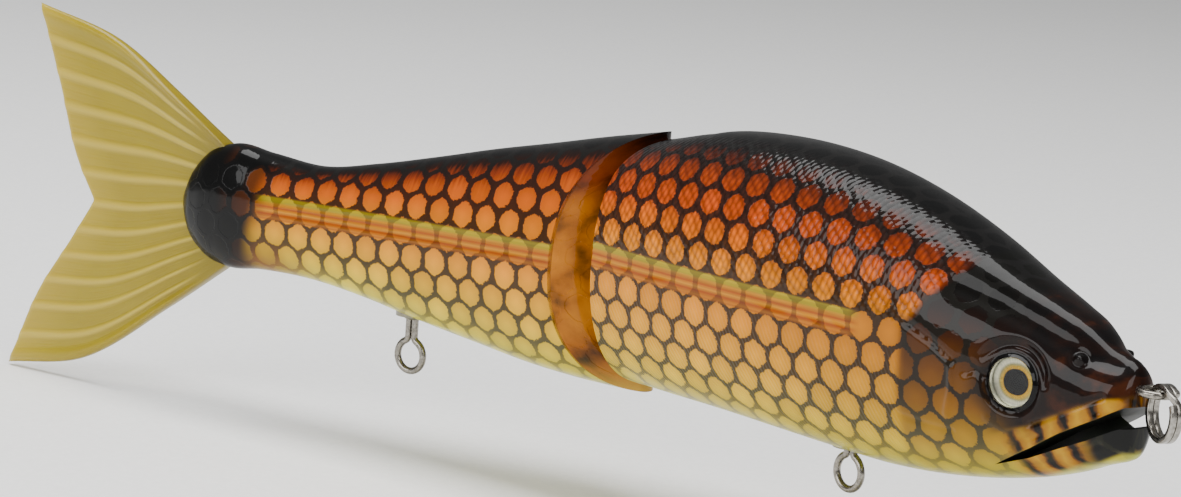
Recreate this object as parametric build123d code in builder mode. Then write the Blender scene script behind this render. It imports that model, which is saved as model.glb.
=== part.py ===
from build123d import *
from math import asin, atan2, cos, hypot, pi, radians, sin
import os

# A two-section swimbait: two hollow moulded shells, joined by a vertical hinge, with a
# soft forked tail. The origin is the centre of the line-tie eye at the nose. +X runs out
# past the nose, +Y is the fish's left, +Z is up. Millimetres throughout.

# Overall
HINGE_BACK = 108.0        # line-tie centre to hinge axis
REST_BEND = 15.0          # the tail section's swing at rest, tail towards the right side
WALL = 1.8                # shell wall
FULLNESS = 2.25           # 2 is an elliptical cross-section, more is squarer
GLUE_GAP = 0.05           # room round every piece that is glued or captured in a pocket

# Front section stations, measured forward of the hinge: place, half width, top, bottom
FRONT_STATIONS = [
    (2.0, 13.9, 20.0, -19.7), (14.0, 14.4, 22.1, -19.7), (26.0, 14.7, 23.4, -19.7),
    (38.0, 14.6, 23.6, -19.9), (50.0, 14.0, 22.6, -20.1), (62.0, 13.1, 20.1, -20.1),
    (74.0, 11.7, 16.2, -19.0), (84.0, 9.9, 12.2, -17.2), (92.0, 7.8, 9.3, -15.2),
    (98.0, 5.9, 7.2, -13.1), (102.5, 4.1, 5.0, -11.0), (105.6, 1.9, 2.0, -8.6),
]
# Rear section stations, the same way, before the section is swung to its rest bend
REAR_STATIONS = [
    (3.0, 13.6, 18.2, -21.4), (-9.0, 13.2, 17.6, -21.1), (-18.0, 11.9, 15.6, -20.5),
    (-30.0, 10.0, 12.6, -19.0), (-42.0, 8.3, 9.7, -17.4), (-54.0, 6.8, 6.9, -15.5),
    (-66.0, 5.7, 4.8, -14.3), (-77.0, 5.2, 5.5, -14.4), (-85.0, 4.9, 6.0, -15.0),
    (-90.0, 4.1, 3.4, -13.2), (-94.0, 2.4, -1.0, -9.5),
]

# Front section
FRONT_FACE = 3.6          # rear face of the front section, ahead of the hinge axis
FRONT_CAVITY = (16.0, 78.0)
FACE_ROUND = 8.65         # radius that rounds the top of the rear face forward
FACE_ROUND_FROM = 13.0
EYE_PLACE = (88.7, 8.4, -1.9)
EYE_TURN = 12.0           # the eyes look this far forward of straight sideways
EYE_R = 3.5
EYE_DEPTH = 1.9
IRIS_T = 0.6
LENS_RISE = 1.2           # height of the clear dome over its rim
MOUTH = [
    (84.9, -14.5), (91.8, -10.6), (96.4, -7.7), (102.0, -4.6), (105.0, -2.6),
    (108.0, -2.2), (108.0, -5.4), (104.6, -5.6), (100.5, -7.9), (96.1, -9.9), (91.0, -12.3),
]
FRONT_WEIGHTS = {"front_weight_forward": (66.0, -11.0), "front_weight_aft": (30.0, -11.5)}
FRONT_WEIGHT_R = 4.2
FRONT_WEIGHT_L = 13.0
SADDLE_L = 6.0            # rib under each weight, measured along the body

# Line tie and its split ring
TIE_R = 2.5               # centreline radius of the eye
TIE_WIRE_R = 0.55
TIE_STEM_L = 14.0
RING_R = 4.1              # outside radius of the split ring
RING_T = 0.9              # radial thickness of its strip
RING_W = 1.8              # both coils side by side
RING_TURN = -22.0         # where on the eye the ring hangs, from +X towards the right
RING_DROP = 2.4           # pivot to ring centre

# Hinge
PIN_R = 1.0
PIN_SPAN = (-17.0, 14.5)
PIN_CLEARANCE = 0.05
HINGE_EYE_Z = {"hinge_eye_upper": 8.5, "hinge_eye_lower": -11.0}
HINGE_WIRE_R = 0.6
HINGE_STEM_R = 0.9
HINGE_STEM_L = 13.0
NOSE_R = 2.8              # rounded nose of the rear section's wedge
BEVEL = (-9.5, 13.6)      # where the wedge's bevels meet the flanks
SLIT_H = 2.0              # slot in the wedge nose for each hinge eye

# Hook hangers
FRONT_HANGER = (49.6, -20.1)
REAR_HANGER = (-45.0, -17.0)
LOOP_R = 2.6              # centreline radius of the round of the loop
LOOP_WIRE_R = 0.57
LOOP_NECK_R = 1.05        # the two legs of the wire, side by side
STUD_R = 1.2
STUD_HEAD_R = 1.9
STUD_HEAD_T = 0.9
SWIVEL_GAP = 0.05
BUSH_R = 2.8
BUSH_L = 6.0
BUSH_LIP = 1.2
DOME_R = 2.0              # rear hanger's collar, seen below the belly
FRONT_LOOP_DROP = 3.8     # belly to loop centre
REAR_LOOP_DROP = 6.7

# Rear section
REAR_CAVITY = (-16.0, -72.0)
REAR_WEIGHT = (-29.0, -11.0)
REAR_WEIGHT_R = 3.4
REAR_WEIGHT_L = 10.0

# Soft tail
TAIL_T = 3.0              # plug and root
TAIL_TIP_T = 1.2
TAIL_FLEX = -98.0         # line across which the soft tail is taken to flex
TAIL_GAP = 0.3
TAIL_PLUG = [(-83.5, -14.2), (-80.0, -10.0), (-80.0, 1.0), (-86.5, 5.8)]
TAIL_TOP = [(-86.5, 5.8), (-98.0, 12.6), (-112.0, 20.3), (-131.0, 24.6)]
TAIL_TOP_INNER = [(-131.0, 24.6), (-125.4, 10.9), (-120.6, -1.5), (-116.2, -8.3)]
TAIL_LOW_INNER = [(-116.2, -8.3), (-121.4, -16.0), (-128.3, -25.8), (-135.0, -40.2)]
TAIL_LOW = [(-135.0, -40.2), (-118.0, -36.8), (-98.0, -24.4), (-83.5, -14.2)]
TAIL_PIN = (-84.5, -4.6)
TAIL_PIN_R = 0.9
TAIL_PIN_L = 7.2

os.makedirs("parts", exist_ok=True)
hinge_axis = Axis((-HINGE_BACK, 0, 0), (0, 0, 1))


def save(piece, name, swing=0.0):
    """Swing a piece with its section, name it and write it."""
    placed = piece.rotate(hinge_axis, swing) if swing else piece
    placed.label = name
    export_step(placed, f"parts/{name}.step")


def body(stations, inset=0.0):
    """Loft a fish body through superelliptical cross-sections."""
    sections = []
    for place, half_width, top, bottom in stations:
        middle = (top + bottom) / 2
        tall = (top - bottom) / 2 - inset
        wide = half_width - inset
        power = 2 / FULLNESS
        points = []
        for step in range(16):
            c = cos(2 * pi * step / 16)
            s = sin(2 * pi * step / 16)
            y = wide * abs(c) ** power * (1 if c > 0 else -1)
            z = tall * abs(s) ** power * (1 if s > 0 else -1)
            points.append((y, middle + z))
        with BuildSketch(Plane.YZ.offset(place - HINGE_BACK)) as section:
            with BuildLine():
                Spline(*points, periodic=True)
            make_face()
        sections.append(section.sketch)
    loft(sections)


def between(stations, start, end):
    """Cross-sections interpolated at the two ends of a stretch, with those inside it."""
    ordered = sorted(stations)
    low, high = sorted((start, end))
    picked = [s for s in ordered if low < s[0] < high]
    for place in (low, high):
        for a, b in zip(ordered, ordered[1:]):
            if a[0] <= place <= b[0]:
                t = (place - a[0]) / (b[0] - a[0])
                values = [va + t * (vb - va) for va, vb in zip(a[1:], b[1:])]
                picked.append((place, *values))
                break
    return sorted(set(picked))


def side_cylinder(place, radius, length, mode=Mode.ADD):
    """A cylinder lying across the body, centred on its middle plane."""
    with BuildSketch(Plane.XZ.offset(-length / 2)) as end:
        with Locations((place[0] - HINGE_BACK, place[1])):
            Circle(radius)
    extrude(end.sketch, amount=length, mode=mode)


def upright(place, radius, low, high, mode=Mode.ADD):
    """A vertical cylinder on the middle plane."""
    with BuildSketch(Plane.XY.offset(low)) as end:
        with Locations((place - HINGE_BACK, 0)):
            Circle(radius)
    extrude(end.sketch, amount=high - low, mode=mode)


def saddle(place, radius, floor):
    """Leave a rib standing from the belly to half way up a lying weight."""
    with BuildSketch(Plane.XZ.offset(-20)) as rib:
        with Locations((place[0] - HINGE_BACK, (floor + place[1]) / 2)):
            Rectangle(SADDLE_L, place[1] - floor)
    extrude(rib.sketch, amount=40, mode=Mode.SUBTRACT)


def eye_plane(side, out):
    """Plane of an eye: side is 1 for the left and -1 for the right, out is along its gaze."""
    gaze = Vector(sin(radians(EYE_TURN)), side * cos(radians(EYE_TURN)), 0)
    centre = Vector(EYE_PLACE[0] - HINGE_BACK, side * EYE_PLACE[1], EYE_PLACE[2])
    return Plane(origin=centre + gaze * out, x_dir=(0, 0, 1), z_dir=gaze)


def bushing_pocket(place, belly):
    upright(place, BUSH_R + GLUE_GAP, belly - 5, belly + BUSH_L + GLUE_GAP, Mode.SUBTRACT)


def screw_eye(centre, loop_r, wire_r, stem_r, stem_l, grow=0.0, direction=1, mode=Mode.ADD):
    """A closed wire eye lying flat, with a straight stem leaving it along X."""
    level = Plane(origin=centre, z_dir=(0, 0, 1))
    with Locations(level):
        Torus(loop_r, wire_r + grow, mode=mode)
    start = Vector(*centre) + Vector(direction * loop_r, 0, 0)
    with BuildSketch(Plane(origin=start, z_dir=(direction, 0, 0))) as stem:
        Circle(stem_r + grow)
    extrude(stem.sketch, amount=stem_l + grow, mode=mode)


# ---------------------------------------------------------------- front section shells

with BuildPart() as front_cavity:
    body(between(FRONT_STATIONS, *FRONT_CAVITY), inset=WALL)
    for weight_place in FRONT_WEIGHTS.values():
        saddle(weight_place, FRONT_WEIGHT_R, -25)
    with BuildSketch(Plane.XY.offset(-25)):
        with Locations((FRONT_HANGER[0] - HINGE_BACK, 0)):
            Rectangle(10, 30)
    extrude(amount=25 + FRONT_HANGER[1] + BUSH_L + 1.5, mode=Mode.SUBTRACT)


def front_shell():
    """The whole front body with every pocket cut, before it is parted into halves."""
    body(FRONT_STATIONS)
    add(front_cavity.part, mode=Mode.SUBTRACT)
    for weight_place in FRONT_WEIGHTS.values():
        side_cylinder(weight_place, FRONT_WEIGHT_R + GLUE_GAP,
                      FRONT_WEIGHT_L + 2 * GLUE_GAP, Mode.SUBTRACT)
    # flat rear face whose top rounds forward
    round_start = (FRONT_FACE - HINGE_BACK, FACE_ROUND_FROM)
    round_end = (round_start[0] + FACE_ROUND, FACE_ROUND_FROM + FACE_ROUND)
    with BuildSketch(Plane.XZ.offset(-20)) as rear_trim:
        with BuildLine():
            Polyline(round_start, (round_start[0], -30), (-HINGE_BACK - 4, -30),
                     (-HINGE_BACK - 4, 30), (round_end[0], 30), round_end)
            TangentArc(round_start, round_end, tangent=(0, 1))
        make_face()
    extrude(rear_trim.sketch, amount=40, mode=Mode.SUBTRACT)
    # mouth, open right through from side to side
    with BuildSketch(Plane.XZ.offset(-20)) as mouth:
        Polygon(*[(x - HINGE_BACK, z) for x, z in MOUTH], align=None)
    extrude(mouth.sketch, amount=40, mode=Mode.SUBTRACT)
    for side in (1, -1):
        with BuildSketch(eye_plane(side, -EYE_DEPTH)) as socket:
            Circle(EYE_R + GLUE_GAP)
        extrude(socket.sketch, amount=6, mode=Mode.SUBTRACT)
    for level in HINGE_EYE_Z.values():
        with BuildSketch(Plane.YZ.offset(1.0 - HINGE_BACK)) as hole:
            with Locations((0, level)):
                Circle(HINGE_STEM_R + GLUE_GAP)
        extrude(hole.sketch, amount=HINGE_WIRE_R + HINGE_STEM_L, mode=Mode.SUBTRACT)
    screw_eye((0, 0, 0), TIE_R, TIE_WIRE_R, TIE_WIRE_R * 1.7, TIE_STEM_L,
              GLUE_GAP, -1, Mode.SUBTRACT)
    bushing_pocket(*FRONT_HANGER)


with BuildPart() as front_shell_left:
    front_shell()
    split(bisect_by=Plane.XZ, keep=Keep.BOTTOM)
save(front_shell_left.part, "front_shell_left")

with BuildPart() as front_shell_right:
    front_shell()
    split(bisect_by=Plane.XZ, keep=Keep.TOP)
save(front_shell_right.part, "front_shell_right")

# ---------------------------------------------------------------------------- the eyes

for side_name, side in (("left", 1), ("right", -1)):
    with BuildPart() as iris:
        with BuildSketch(eye_plane(side, -EYE_DEPTH)):
            Circle(EYE_R)
        extrude(amount=IRIS_T)
    save(iris.part, f"eye_iris_{side_name}")

    with BuildPart() as lens:
        with BuildSketch(eye_plane(side, IRIS_T - EYE_DEPTH)):
            Circle(EYE_R)
        extrude(amount=EYE_DEPTH - IRIS_T)
        dome_r = (EYE_R ** 2 + LENS_RISE ** 2) / (2 * LENS_RISE)
        with Locations(eye_plane(side, LENS_RISE - dome_r)):
            Sphere(dome_r, arc_size1=0)
        with BuildSketch(eye_plane(side, IRIS_T - EYE_DEPTH)):
            Circle(EYE_R)
        extrude(amount=EYE_DEPTH - IRIS_T + LENS_RISE, mode=Mode.INTERSECT)
    save(lens.part, f"eye_lens_{side_name}")

# -------------------------------------------------------------- line tie and split ring

with BuildPart() as line_tie:
    screw_eye((0, 0, 0), TIE_R, TIE_WIRE_R, TIE_WIRE_R * 1.7, TIE_STEM_L, direction=-1)
save(line_tie.part, "line_tie")

hang = Vector(cos(radians(RING_TURN)), sin(radians(RING_TURN)), 0)
with BuildPart() as split_ring:
    ring_plane = Plane(
        origin=hang * TIE_R - Vector(0, 0, RING_DROP),
        x_dir=hang,
        z_dir=hang.cross(Vector(0, 0, 1)),
    )
    with BuildSketch(ring_plane):
        Circle(RING_R)
        Circle(RING_R - RING_T, mode=Mode.SUBTRACT)
    extrude(amount=RING_W / 2, both=True)
    fillet(split_ring.edges(), 0.15)
    # the groove between the two coils of the strip
    with BuildSketch(ring_plane):
        Circle(RING_R + 1)
        Circle(RING_R - 0.15, mode=Mode.SUBTRACT)
    extrude(amount=0.05, both=True, mode=Mode.SUBTRACT)
save(split_ring.part, "split_ring")

# ------------------------------------------------------------------------- front ballast

for weight_name, weight_place in FRONT_WEIGHTS.items():
    with BuildPart() as weight:
        side_cylinder(weight_place, FRONT_WEIGHT_R, FRONT_WEIGHT_L)
    save(weight.part, weight_name)

# -------------------------------------------------------------------------------- hinge

for eye_name, level in HINGE_EYE_Z.items():
    with BuildPart() as hinge_eye:
        screw_eye((-HINGE_BACK, 0, level), PIN_R + PIN_CLEARANCE + HINGE_WIRE_R,
                  HINGE_WIRE_R, HINGE_STEM_R, HINGE_STEM_L - PIN_R)
    save(hinge_eye.part, eye_name)

with BuildPart() as hinge_pin:
    upright(0, PIN_R, *PIN_SPAN)
    chamfer(hinge_pin.edges(), 0.2)
save(hinge_pin.part, "hinge_pin", REST_BEND)

# ------------------------------------------------------------------------- hook hangers


def hanger_loop(place, belly, drop):
    """Closed wire loop under a round stud with a head that keeps it in its bushing."""
    facing = Plane(origin=(place - HINGE_BACK, 0, belly - drop), z_dir=(0, -1, 0))
    with Locations(facing):
        Torus(LOOP_R, LOOP_WIRE_R)
    upright(place, LOOP_NECK_R, belly - drop + LOOP_R, belly + 0.1)
    upright(place, STUD_R, belly, belly + BUSH_LIP + SWIVEL_GAP)
    upright(place, STUD_HEAD_R, belly + BUSH_LIP + SWIVEL_GAP,
            belly + BUSH_LIP + SWIVEL_GAP + STUD_HEAD_T)


def bushing(place, belly, domed):
    """Brass barrel glued into the belly, open at the top and lipped at the bottom."""
    upright(place, BUSH_R, belly, belly + BUSH_L)
    if domed:
        with Locations((place - HINGE_BACK, 0, belly)):
            Sphere(DOME_R, arc_size2=0, arc_size1=-90)
    upright(place, STUD_R + SWIVEL_GAP, belly - 5, belly + BUSH_LIP, Mode.SUBTRACT)
    upright(place, STUD_HEAD_R + SWIVEL_GAP, belly + BUSH_LIP, belly + BUSH_L + 1,
            Mode.SUBTRACT)


with BuildPart() as front_hanger_loop:
    hanger_loop(*FRONT_HANGER, FRONT_LOOP_DROP)
save(front_hanger_loop.part, "front_hanger_loop")

with BuildPart() as front_hanger_bushing:
    bushing(*FRONT_HANGER, domed=False)
save(front_hanger_bushing.part, "front_hanger_bushing")

with BuildPart() as rear_hanger_loop:
    hanger_loop(*REAR_HANGER, REAR_LOOP_DROP)
save(rear_hanger_loop.part, "rear_hanger_loop", REST_BEND)

with BuildPart() as rear_hanger_bushing:
    bushing(*REAR_HANGER, domed=True)
save(rear_hanger_bushing.part, "rear_hanger_bushing", REST_BEND)

# ------------------------------------------------------------------ rear section shells

with BuildPart() as rear_cavity:
    body(between(REAR_STATIONS, *REAR_CAVITY), inset=WALL)
    saddle(REAR_WEIGHT, REAR_WEIGHT_R, -25)
    with BuildSketch(Plane.XY.offset(-25)):
        with Locations((REAR_HANGER[0] - HINGE_BACK, 0)):
            Rectangle(10, 30)
    extrude(amount=25 + REAR_HANGER[1] + BUSH_L + 1.5, mode=Mode.SUBTRACT)


def tail_outline():
    """Side view of the whole soft tail, with the plug that goes into the rear section."""
    side_view = Plane(origin=(-HINGE_BACK, 0, 0), x_dir=(1, 0, 0), z_dir=(0, -1, 0))
    with BuildSketch(side_view) as outline:
        with BuildLine():
            Polyline(*TAIL_PLUG)
            Spline(*TAIL_TOP)
            Spline(*TAIL_TOP_INNER)
            Spline(*TAIL_LOW_INNER)
            Spline(*TAIL_LOW)
        make_face()
    return outline.sketch


def tail_slot():
    """Side view of the slot: the plug's shape moved forward, and open behind it."""
    low_end, low_front, top_front, top_end = [Vector(x, z) for x, z in TAIL_PLUG]
    low_out = low_front + (low_end - low_front) * 1.6
    top_out = top_front + (top_end - top_front) * 1.6
    with BuildSketch(Plane.XZ) as slot:
        with Locations((2 * GLUE_GAP - HINGE_BACK, 0)):
            Polygon(low_out, low_front, top_front, top_out, (-110, top_out.Y),
                    (-110, low_out.Y), align=None)
    return slot.sketch


def rear_shell():
    """The whole rear body with every pocket cut, before it is parted into halves."""
    body(REAR_STATIONS)
    add(rear_cavity.part, mode=Mode.SUBTRACT)
    side_cylinder(REAR_WEIGHT, REAR_WEIGHT_R + GLUE_GAP, REAR_WEIGHT_L + 2 * GLUE_GAP,
                  Mode.SUBTRACT)
    # wedge: a rounded nose on the hinge axis with a bevel back to each flank
    back, out = BEVEL
    lean = atan2(-back, out) + asin(NOSE_R / hypot(back, out))
    touch = (NOSE_R * cos(lean), NOSE_R * sin(lean))
    past = (back - 10 * (touch[0] - back) / (out - touch[1]), out + 10)
    with BuildSketch(Plane.XY.offset(-30)) as plan:
        with Locations((-HINGE_BACK, 0)):
            Circle(NOSE_R)
            Polygon(touch, past, (-130, past[1]), (-130, -past[1]), (past[0], -past[1]),
                    (touch[0], -touch[1]), align=None)
    extrude(plan.sketch, amount=60, mode=Mode.INTERSECT)
    # a slot for each hinge eye, open in front, and the bore for the pin
    for level in HINGE_EYE_Z.values():
        low, high = level - SLIT_H / 2, level + SLIT_H / 2
        upright(0, NOSE_R - 0.3, low, high, Mode.SUBTRACT)
        with BuildSketch(Plane.XY.offset(low)) as opening:
            with Locations((NOSE_R / 2 + 0.5 - HINGE_BACK, 0)):
                Rectangle(NOSE_R + 1, 3 * NOSE_R)
        extrude(opening.sketch, amount=SLIT_H, mode=Mode.SUBTRACT)
    upright(0, PIN_R + GLUE_GAP, PIN_SPAN[0] - GLUE_GAP, PIN_SPAN[1] + GLUE_GAP,
            Mode.SUBTRACT)
    # slot for the plug of the soft tail, and the blind bore for its cross pin
    extrude(tail_slot(), amount=TAIL_T / 2 + GLUE_GAP, both=True,
            mode=Mode.SUBTRACT)
    side_cylinder(TAIL_PIN, TAIL_PIN_R + GLUE_GAP, TAIL_PIN_L + 2 * GLUE_GAP,
                  Mode.SUBTRACT)
    bushing_pocket(*REAR_HANGER)


with BuildPart() as rear_shell_left:
    rear_shell()
    split(bisect_by=Plane.XZ, keep=Keep.BOTTOM)
save(rear_shell_left.part, "rear_shell_left", REST_BEND)

with BuildPart() as rear_shell_right:
    rear_shell()
    split(bisect_by=Plane.XZ, keep=Keep.TOP)
save(rear_shell_right.part, "rear_shell_right", REST_BEND)

with BuildPart() as rear_weight:
    side_cylinder(REAR_WEIGHT, REAR_WEIGHT_R, REAR_WEIGHT_L)
save(rear_weight.part, "rear_weight", REST_BEND)

# ---------------------------------------------------------------------------- soft tail

with BuildPart() as tail_root:
    extrude(tail_outline(), amount=TAIL_T / 2, both=True)
    with BuildSketch(Plane.XY.offset(-60)) as root_plan:
        with Locations((TAIL_FLEX - HINGE_BACK, 0)):
            Circle(TAIL_T / 2)
            Rectangle(40, TAIL_T, align=(Align.MIN, Align.CENTER))
    extrude(root_plan.sketch, amount=120, mode=Mode.INTERSECT)
    side_cylinder(TAIL_PIN, TAIL_PIN_R + GLUE_GAP, TAIL_T + 1, Mode.SUBTRACT)
save(tail_root.part, "tail_root", REST_BEND)

with BuildPart() as tail_blade:
    extrude(tail_outline(), amount=TAIL_T / 2, both=True)
    blade_front = TAIL_FLEX - TAIL_T / 2 - TAIL_GAP
    with BuildSketch(Plane.XY.offset(-60)) as blade_plan:
        with Locations((-HINGE_BACK, 0)):
            Polygon((blade_front, TAIL_T / 2 - 0.2), (blade_front, 0.2 - TAIL_T / 2),
                    (-140, -TAIL_TIP_T / 2), (-140, TAIL_TIP_T / 2), align=None)
    extrude(blade_plan.sketch, amount=120, mode=Mode.INTERSECT)
save(tail_blade.part, "tail_blade", REST_BEND)

with BuildPart() as tail_pin:
    side_cylinder(TAIL_PIN, TAIL_PIN_R, TAIL_PIN_L)
save(tail_pin.part, "tail_pin", REST_BEND)
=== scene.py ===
import math

import bpy
import numpy as np
from mathutils import Matrix, Vector


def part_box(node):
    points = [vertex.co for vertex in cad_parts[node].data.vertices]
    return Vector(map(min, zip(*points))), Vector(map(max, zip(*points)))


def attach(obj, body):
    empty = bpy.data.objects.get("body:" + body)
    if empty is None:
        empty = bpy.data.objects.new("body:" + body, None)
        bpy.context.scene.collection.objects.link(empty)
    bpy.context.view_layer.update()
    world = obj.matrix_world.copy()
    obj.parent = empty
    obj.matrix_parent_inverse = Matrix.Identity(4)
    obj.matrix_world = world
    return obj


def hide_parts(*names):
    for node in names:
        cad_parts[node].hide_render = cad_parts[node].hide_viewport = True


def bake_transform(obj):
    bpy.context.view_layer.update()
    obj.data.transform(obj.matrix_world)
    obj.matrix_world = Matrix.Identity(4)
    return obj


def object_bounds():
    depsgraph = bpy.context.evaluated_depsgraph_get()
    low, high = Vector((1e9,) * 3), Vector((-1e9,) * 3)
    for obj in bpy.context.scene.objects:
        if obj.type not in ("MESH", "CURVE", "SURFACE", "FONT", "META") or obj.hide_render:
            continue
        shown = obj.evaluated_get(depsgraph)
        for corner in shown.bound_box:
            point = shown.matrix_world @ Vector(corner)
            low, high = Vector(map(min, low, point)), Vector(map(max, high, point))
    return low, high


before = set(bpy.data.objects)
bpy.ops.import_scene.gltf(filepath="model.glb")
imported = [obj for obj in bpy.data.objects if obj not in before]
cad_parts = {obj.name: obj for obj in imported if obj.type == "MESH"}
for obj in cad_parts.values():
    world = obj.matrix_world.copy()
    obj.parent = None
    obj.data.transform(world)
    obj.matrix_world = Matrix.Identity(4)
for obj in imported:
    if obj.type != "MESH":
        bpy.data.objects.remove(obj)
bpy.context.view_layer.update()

# ---------------------------------------------------------------------------
# Front section skin: two moulded ABS half shells, welded and sealed. This is their
# outside, with the gill plate, brow, nostrils, jaws and lateral line moulded in.
# Forms are worked in mm ahead of the hinge axis and placed by the hinge pin.

MM = 0.001
pin_low, pin_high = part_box("hinge_pin")
HINGE = np.array([(pin_low.x + pin_high.x) / 2, (pin_low.y + pin_high.y) / 2, 0]) / MM
# place, half width, top and bottom
FRONT_FORM = [
    (3.6, 13.9, 19.5, -19.7), (14, 14.4, 21.9, -19.7), (26, 14.7, 23.3, -19.7),
    (38, 14.6, 23.6, -19.9), (50, 14.0, 22.6, -20.1), (62, 13.1, 20.1, -20.1),
    (74, 11.8, 16.2, -19.0), (84, 10.0, 12.2, -17.2), (92, 8.1, 9.3, -15.1),
    (95.5, 7.3, 7.9, -13.9), (98, 6.6, 6.4, -12.9), (100, 6.0, 5.0, -12.0),
    (102.4, 5.0, 4.1, -11.1), (104.2, 3.8, 3.4, -10.4), (105.1, 2.8, 2.4, -9.8),
    (105.5, 2.0, 1.3, -9.2),
]
FRONT_FACE = 3.6
FACE_ROUND_FROM = 13.0
FACE_ROUND = 8.65
FULLNESS = 2.25
AROUND_FRONT = 308
LATERAL_FRONT = 1.6


def smooth_curve(places, values, at):
    """Cubic through unevenly spaced stations."""
    slopes = np.gradient(values, places)
    k = np.clip(np.searchsorted(places, at) - 1, 0, len(places) - 2)
    gap = places[k + 1] - places[k]
    t = np.clip((at - places[k]) / gap, 0, 1)
    return (
        (2 * t**3 - 3 * t**2 + 1) * values[k]
        + (t**3 - 2 * t**2 + t) * gap * slopes[k]
        + (3 * t**2 - 2 * t**3) * values[k + 1]
        + (t**3 - t**2) * gap * slopes[k + 1]
    )


def fish_form(form, at, around):
    """Points of a fish body: at gives the place of each point, columns run round from
    the back down the right side, along the belly and up the left side."""
    table = np.array(sorted(form), float)
    half_width, top, bottom = (smooth_curve(table[:, 0], table[:, i], at) for i in (1, 2, 3))
    turn = np.linspace(0, 2 * math.pi, around, endpoint=False)[None]
    across, up = -np.sin(turn), np.cos(turn)
    power = 2 / FULLNESS
    side = half_width * np.sign(across) * np.abs(across) ** power
    height = (top + bottom) / 2 + (top - bottom) / 2 * np.sign(up) * np.abs(up) ** power
    return np.stack([np.broadcast_to(at, side.shape), side, height], -1)


def walk_down(points, lateral):
    """Distance in mm up the skin from the lateral line, and the same as a share."""
    half = points.shape[1] // 2
    right = points[:, : half + 1]
    steps = np.linalg.norm(np.diff(right, axis=1)[..., 1:], axis=-1)
    walk = np.concatenate([np.zeros((len(points), 1)), np.cumsum(steps, 1)], 1)
    walk_to_line = [
        np.interp(-line, -row[:, 2], steps_down)
        for line, row, steps_down in zip(lateral, right, walk)
    ]
    line = np.array(walk_to_line)[:, None]
    climb = line - walk
    share = np.where(climb > 0, climb / line, climb / (walk[:, -1:] - line))
    mirror = np.concatenate([np.arange(half + 1), np.arange(half - 1, -1, -1)])
    return climb[:, mirror], share[:, mirror]


def bead(points, line, width, height):
    """Height of a soft bead that follows a line given in forward, out and up."""
    line = np.array(line, float)
    near = np.full(points.shape[:2], 1e9)
    for start, end in zip(line, line[1:]):
        way = end - start
        t = np.clip(((points - start) @ way) / (way @ way), 0, 1)
        gap = points - (start + t[..., None] * way)
        near = np.minimum(near, np.sqrt((gap**2).sum(-1)))
    return height * np.exp(-((near / width) ** 2))


def step(values, start, end):
    """0 before start and 1 after end, with soft ends."""
    t = np.clip((values - start) / (end - start), 0, 1)
    return t * t * (3 - 2 * t)


def outward(points):
    """Normals of a closed sleeve of points."""
    along = np.gradient(points, axis=0)
    around = np.roll(points, -1, 1) - np.roll(points, 1, 1)
    normal = np.cross(along, around)
    return normal / np.maximum(np.linalg.norm(normal, axis=-1, keepdims=True), 1e-9)


def sleeve(name, points, maps=None, marks=None):
    """A closed skin from rings of points in mm, with UV maps and painted marks."""
    rows, columns = points.shape[:2]
    bpy.ops.object.select_all(action="DESELECT")
    bpy.ops.mesh.primitive_grid_add(x_subdivisions=columns, y_subdivisions=rows - 1, size=1)
    made = bpy.context.object
    made.name = made.data.name = name
    mesh = made.data
    wrap = np.arange(columns + 1) % columns
    mesh.vertices.foreach_set("co", (points[:, wrap] * MM).ravel())
    corner = np.zeros(len(mesh.loops), int)
    mesh.loops.foreach_get("vertex_index", corner)
    for title, values in (maps or {}).items():
        layer = mesh.uv_layers.new(name=title)
        layer.data.foreach_set("uv", values.reshape(-1, 2)[corner].ravel())
    mesh.uv_layers.remove(mesh.uv_layers["UVMap"])
    for title, values in (marks or {}).items():
        mark = mesh.attributes.new(title, "FLOAT", "CORNER")
        mark.data.foreach_set("value", values[:, wrap].ravel()[corner])
    bpy.ops.object.mode_set(mode="EDIT")
    bpy.ops.mesh.select_all(action="SELECT")
    bpy.ops.mesh.remove_doubles(threshold=2e-6)
    bpy.ops.mesh.select_all(action="SELECT")
    bpy.ops.mesh.normals_make_consistent(inside=False)
    bpy.ops.object.mode_set(mode="OBJECT")
    bpy.ops.object.shade_smooth()
    return made


def cut(piece, cutter):
    """Cut one piece out of another and remove the cutter."""
    taken = piece.modifiers.new("cut", "BOOLEAN")
    taken.operation = "DIFFERENCE"
    taken.solver = "EXACT"
    taken.material_mode = "TRANSFER"
    taken.object = cutter
    bpy.ops.object.select_all(action="DESELECT")
    piece.select_set(True)
    bpy.context.view_layer.objects.active = piece
    bpy.ops.object.modifier_apply(modifier="cut")
    bpy.data.objects.remove(cutter)


body_rows = np.linspace(FRONT_FACE, 72, 118)
head_rows = 72 + (105.5 - 72) * (1 - (1 - np.linspace(0, 1, 141)[1:]) ** 1.2)
front_rows = np.concatenate([body_rows, head_rows])[:, None]
front_points = fish_form(FRONT_FORM, front_rows, AROUND_FRONT)
climb, share = walk_down(front_points, np.full(len(front_rows), LATERAL_FRONT))

# the top of the flat rear face rounds forward
over = np.clip(front_points[..., 2] - FACE_ROUND_FROM, 0, FACE_ROUND * 0.999)
forward = FACE_ROUND - np.sqrt(FACE_ROUND**2 - over**2)
room = np.clip(1 - (front_points[..., 0] - FRONT_FACE) / 24, 0, 1) ** 2
front_points[..., 0] += forward * room
front_x = front_points[..., 0].copy()

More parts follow.
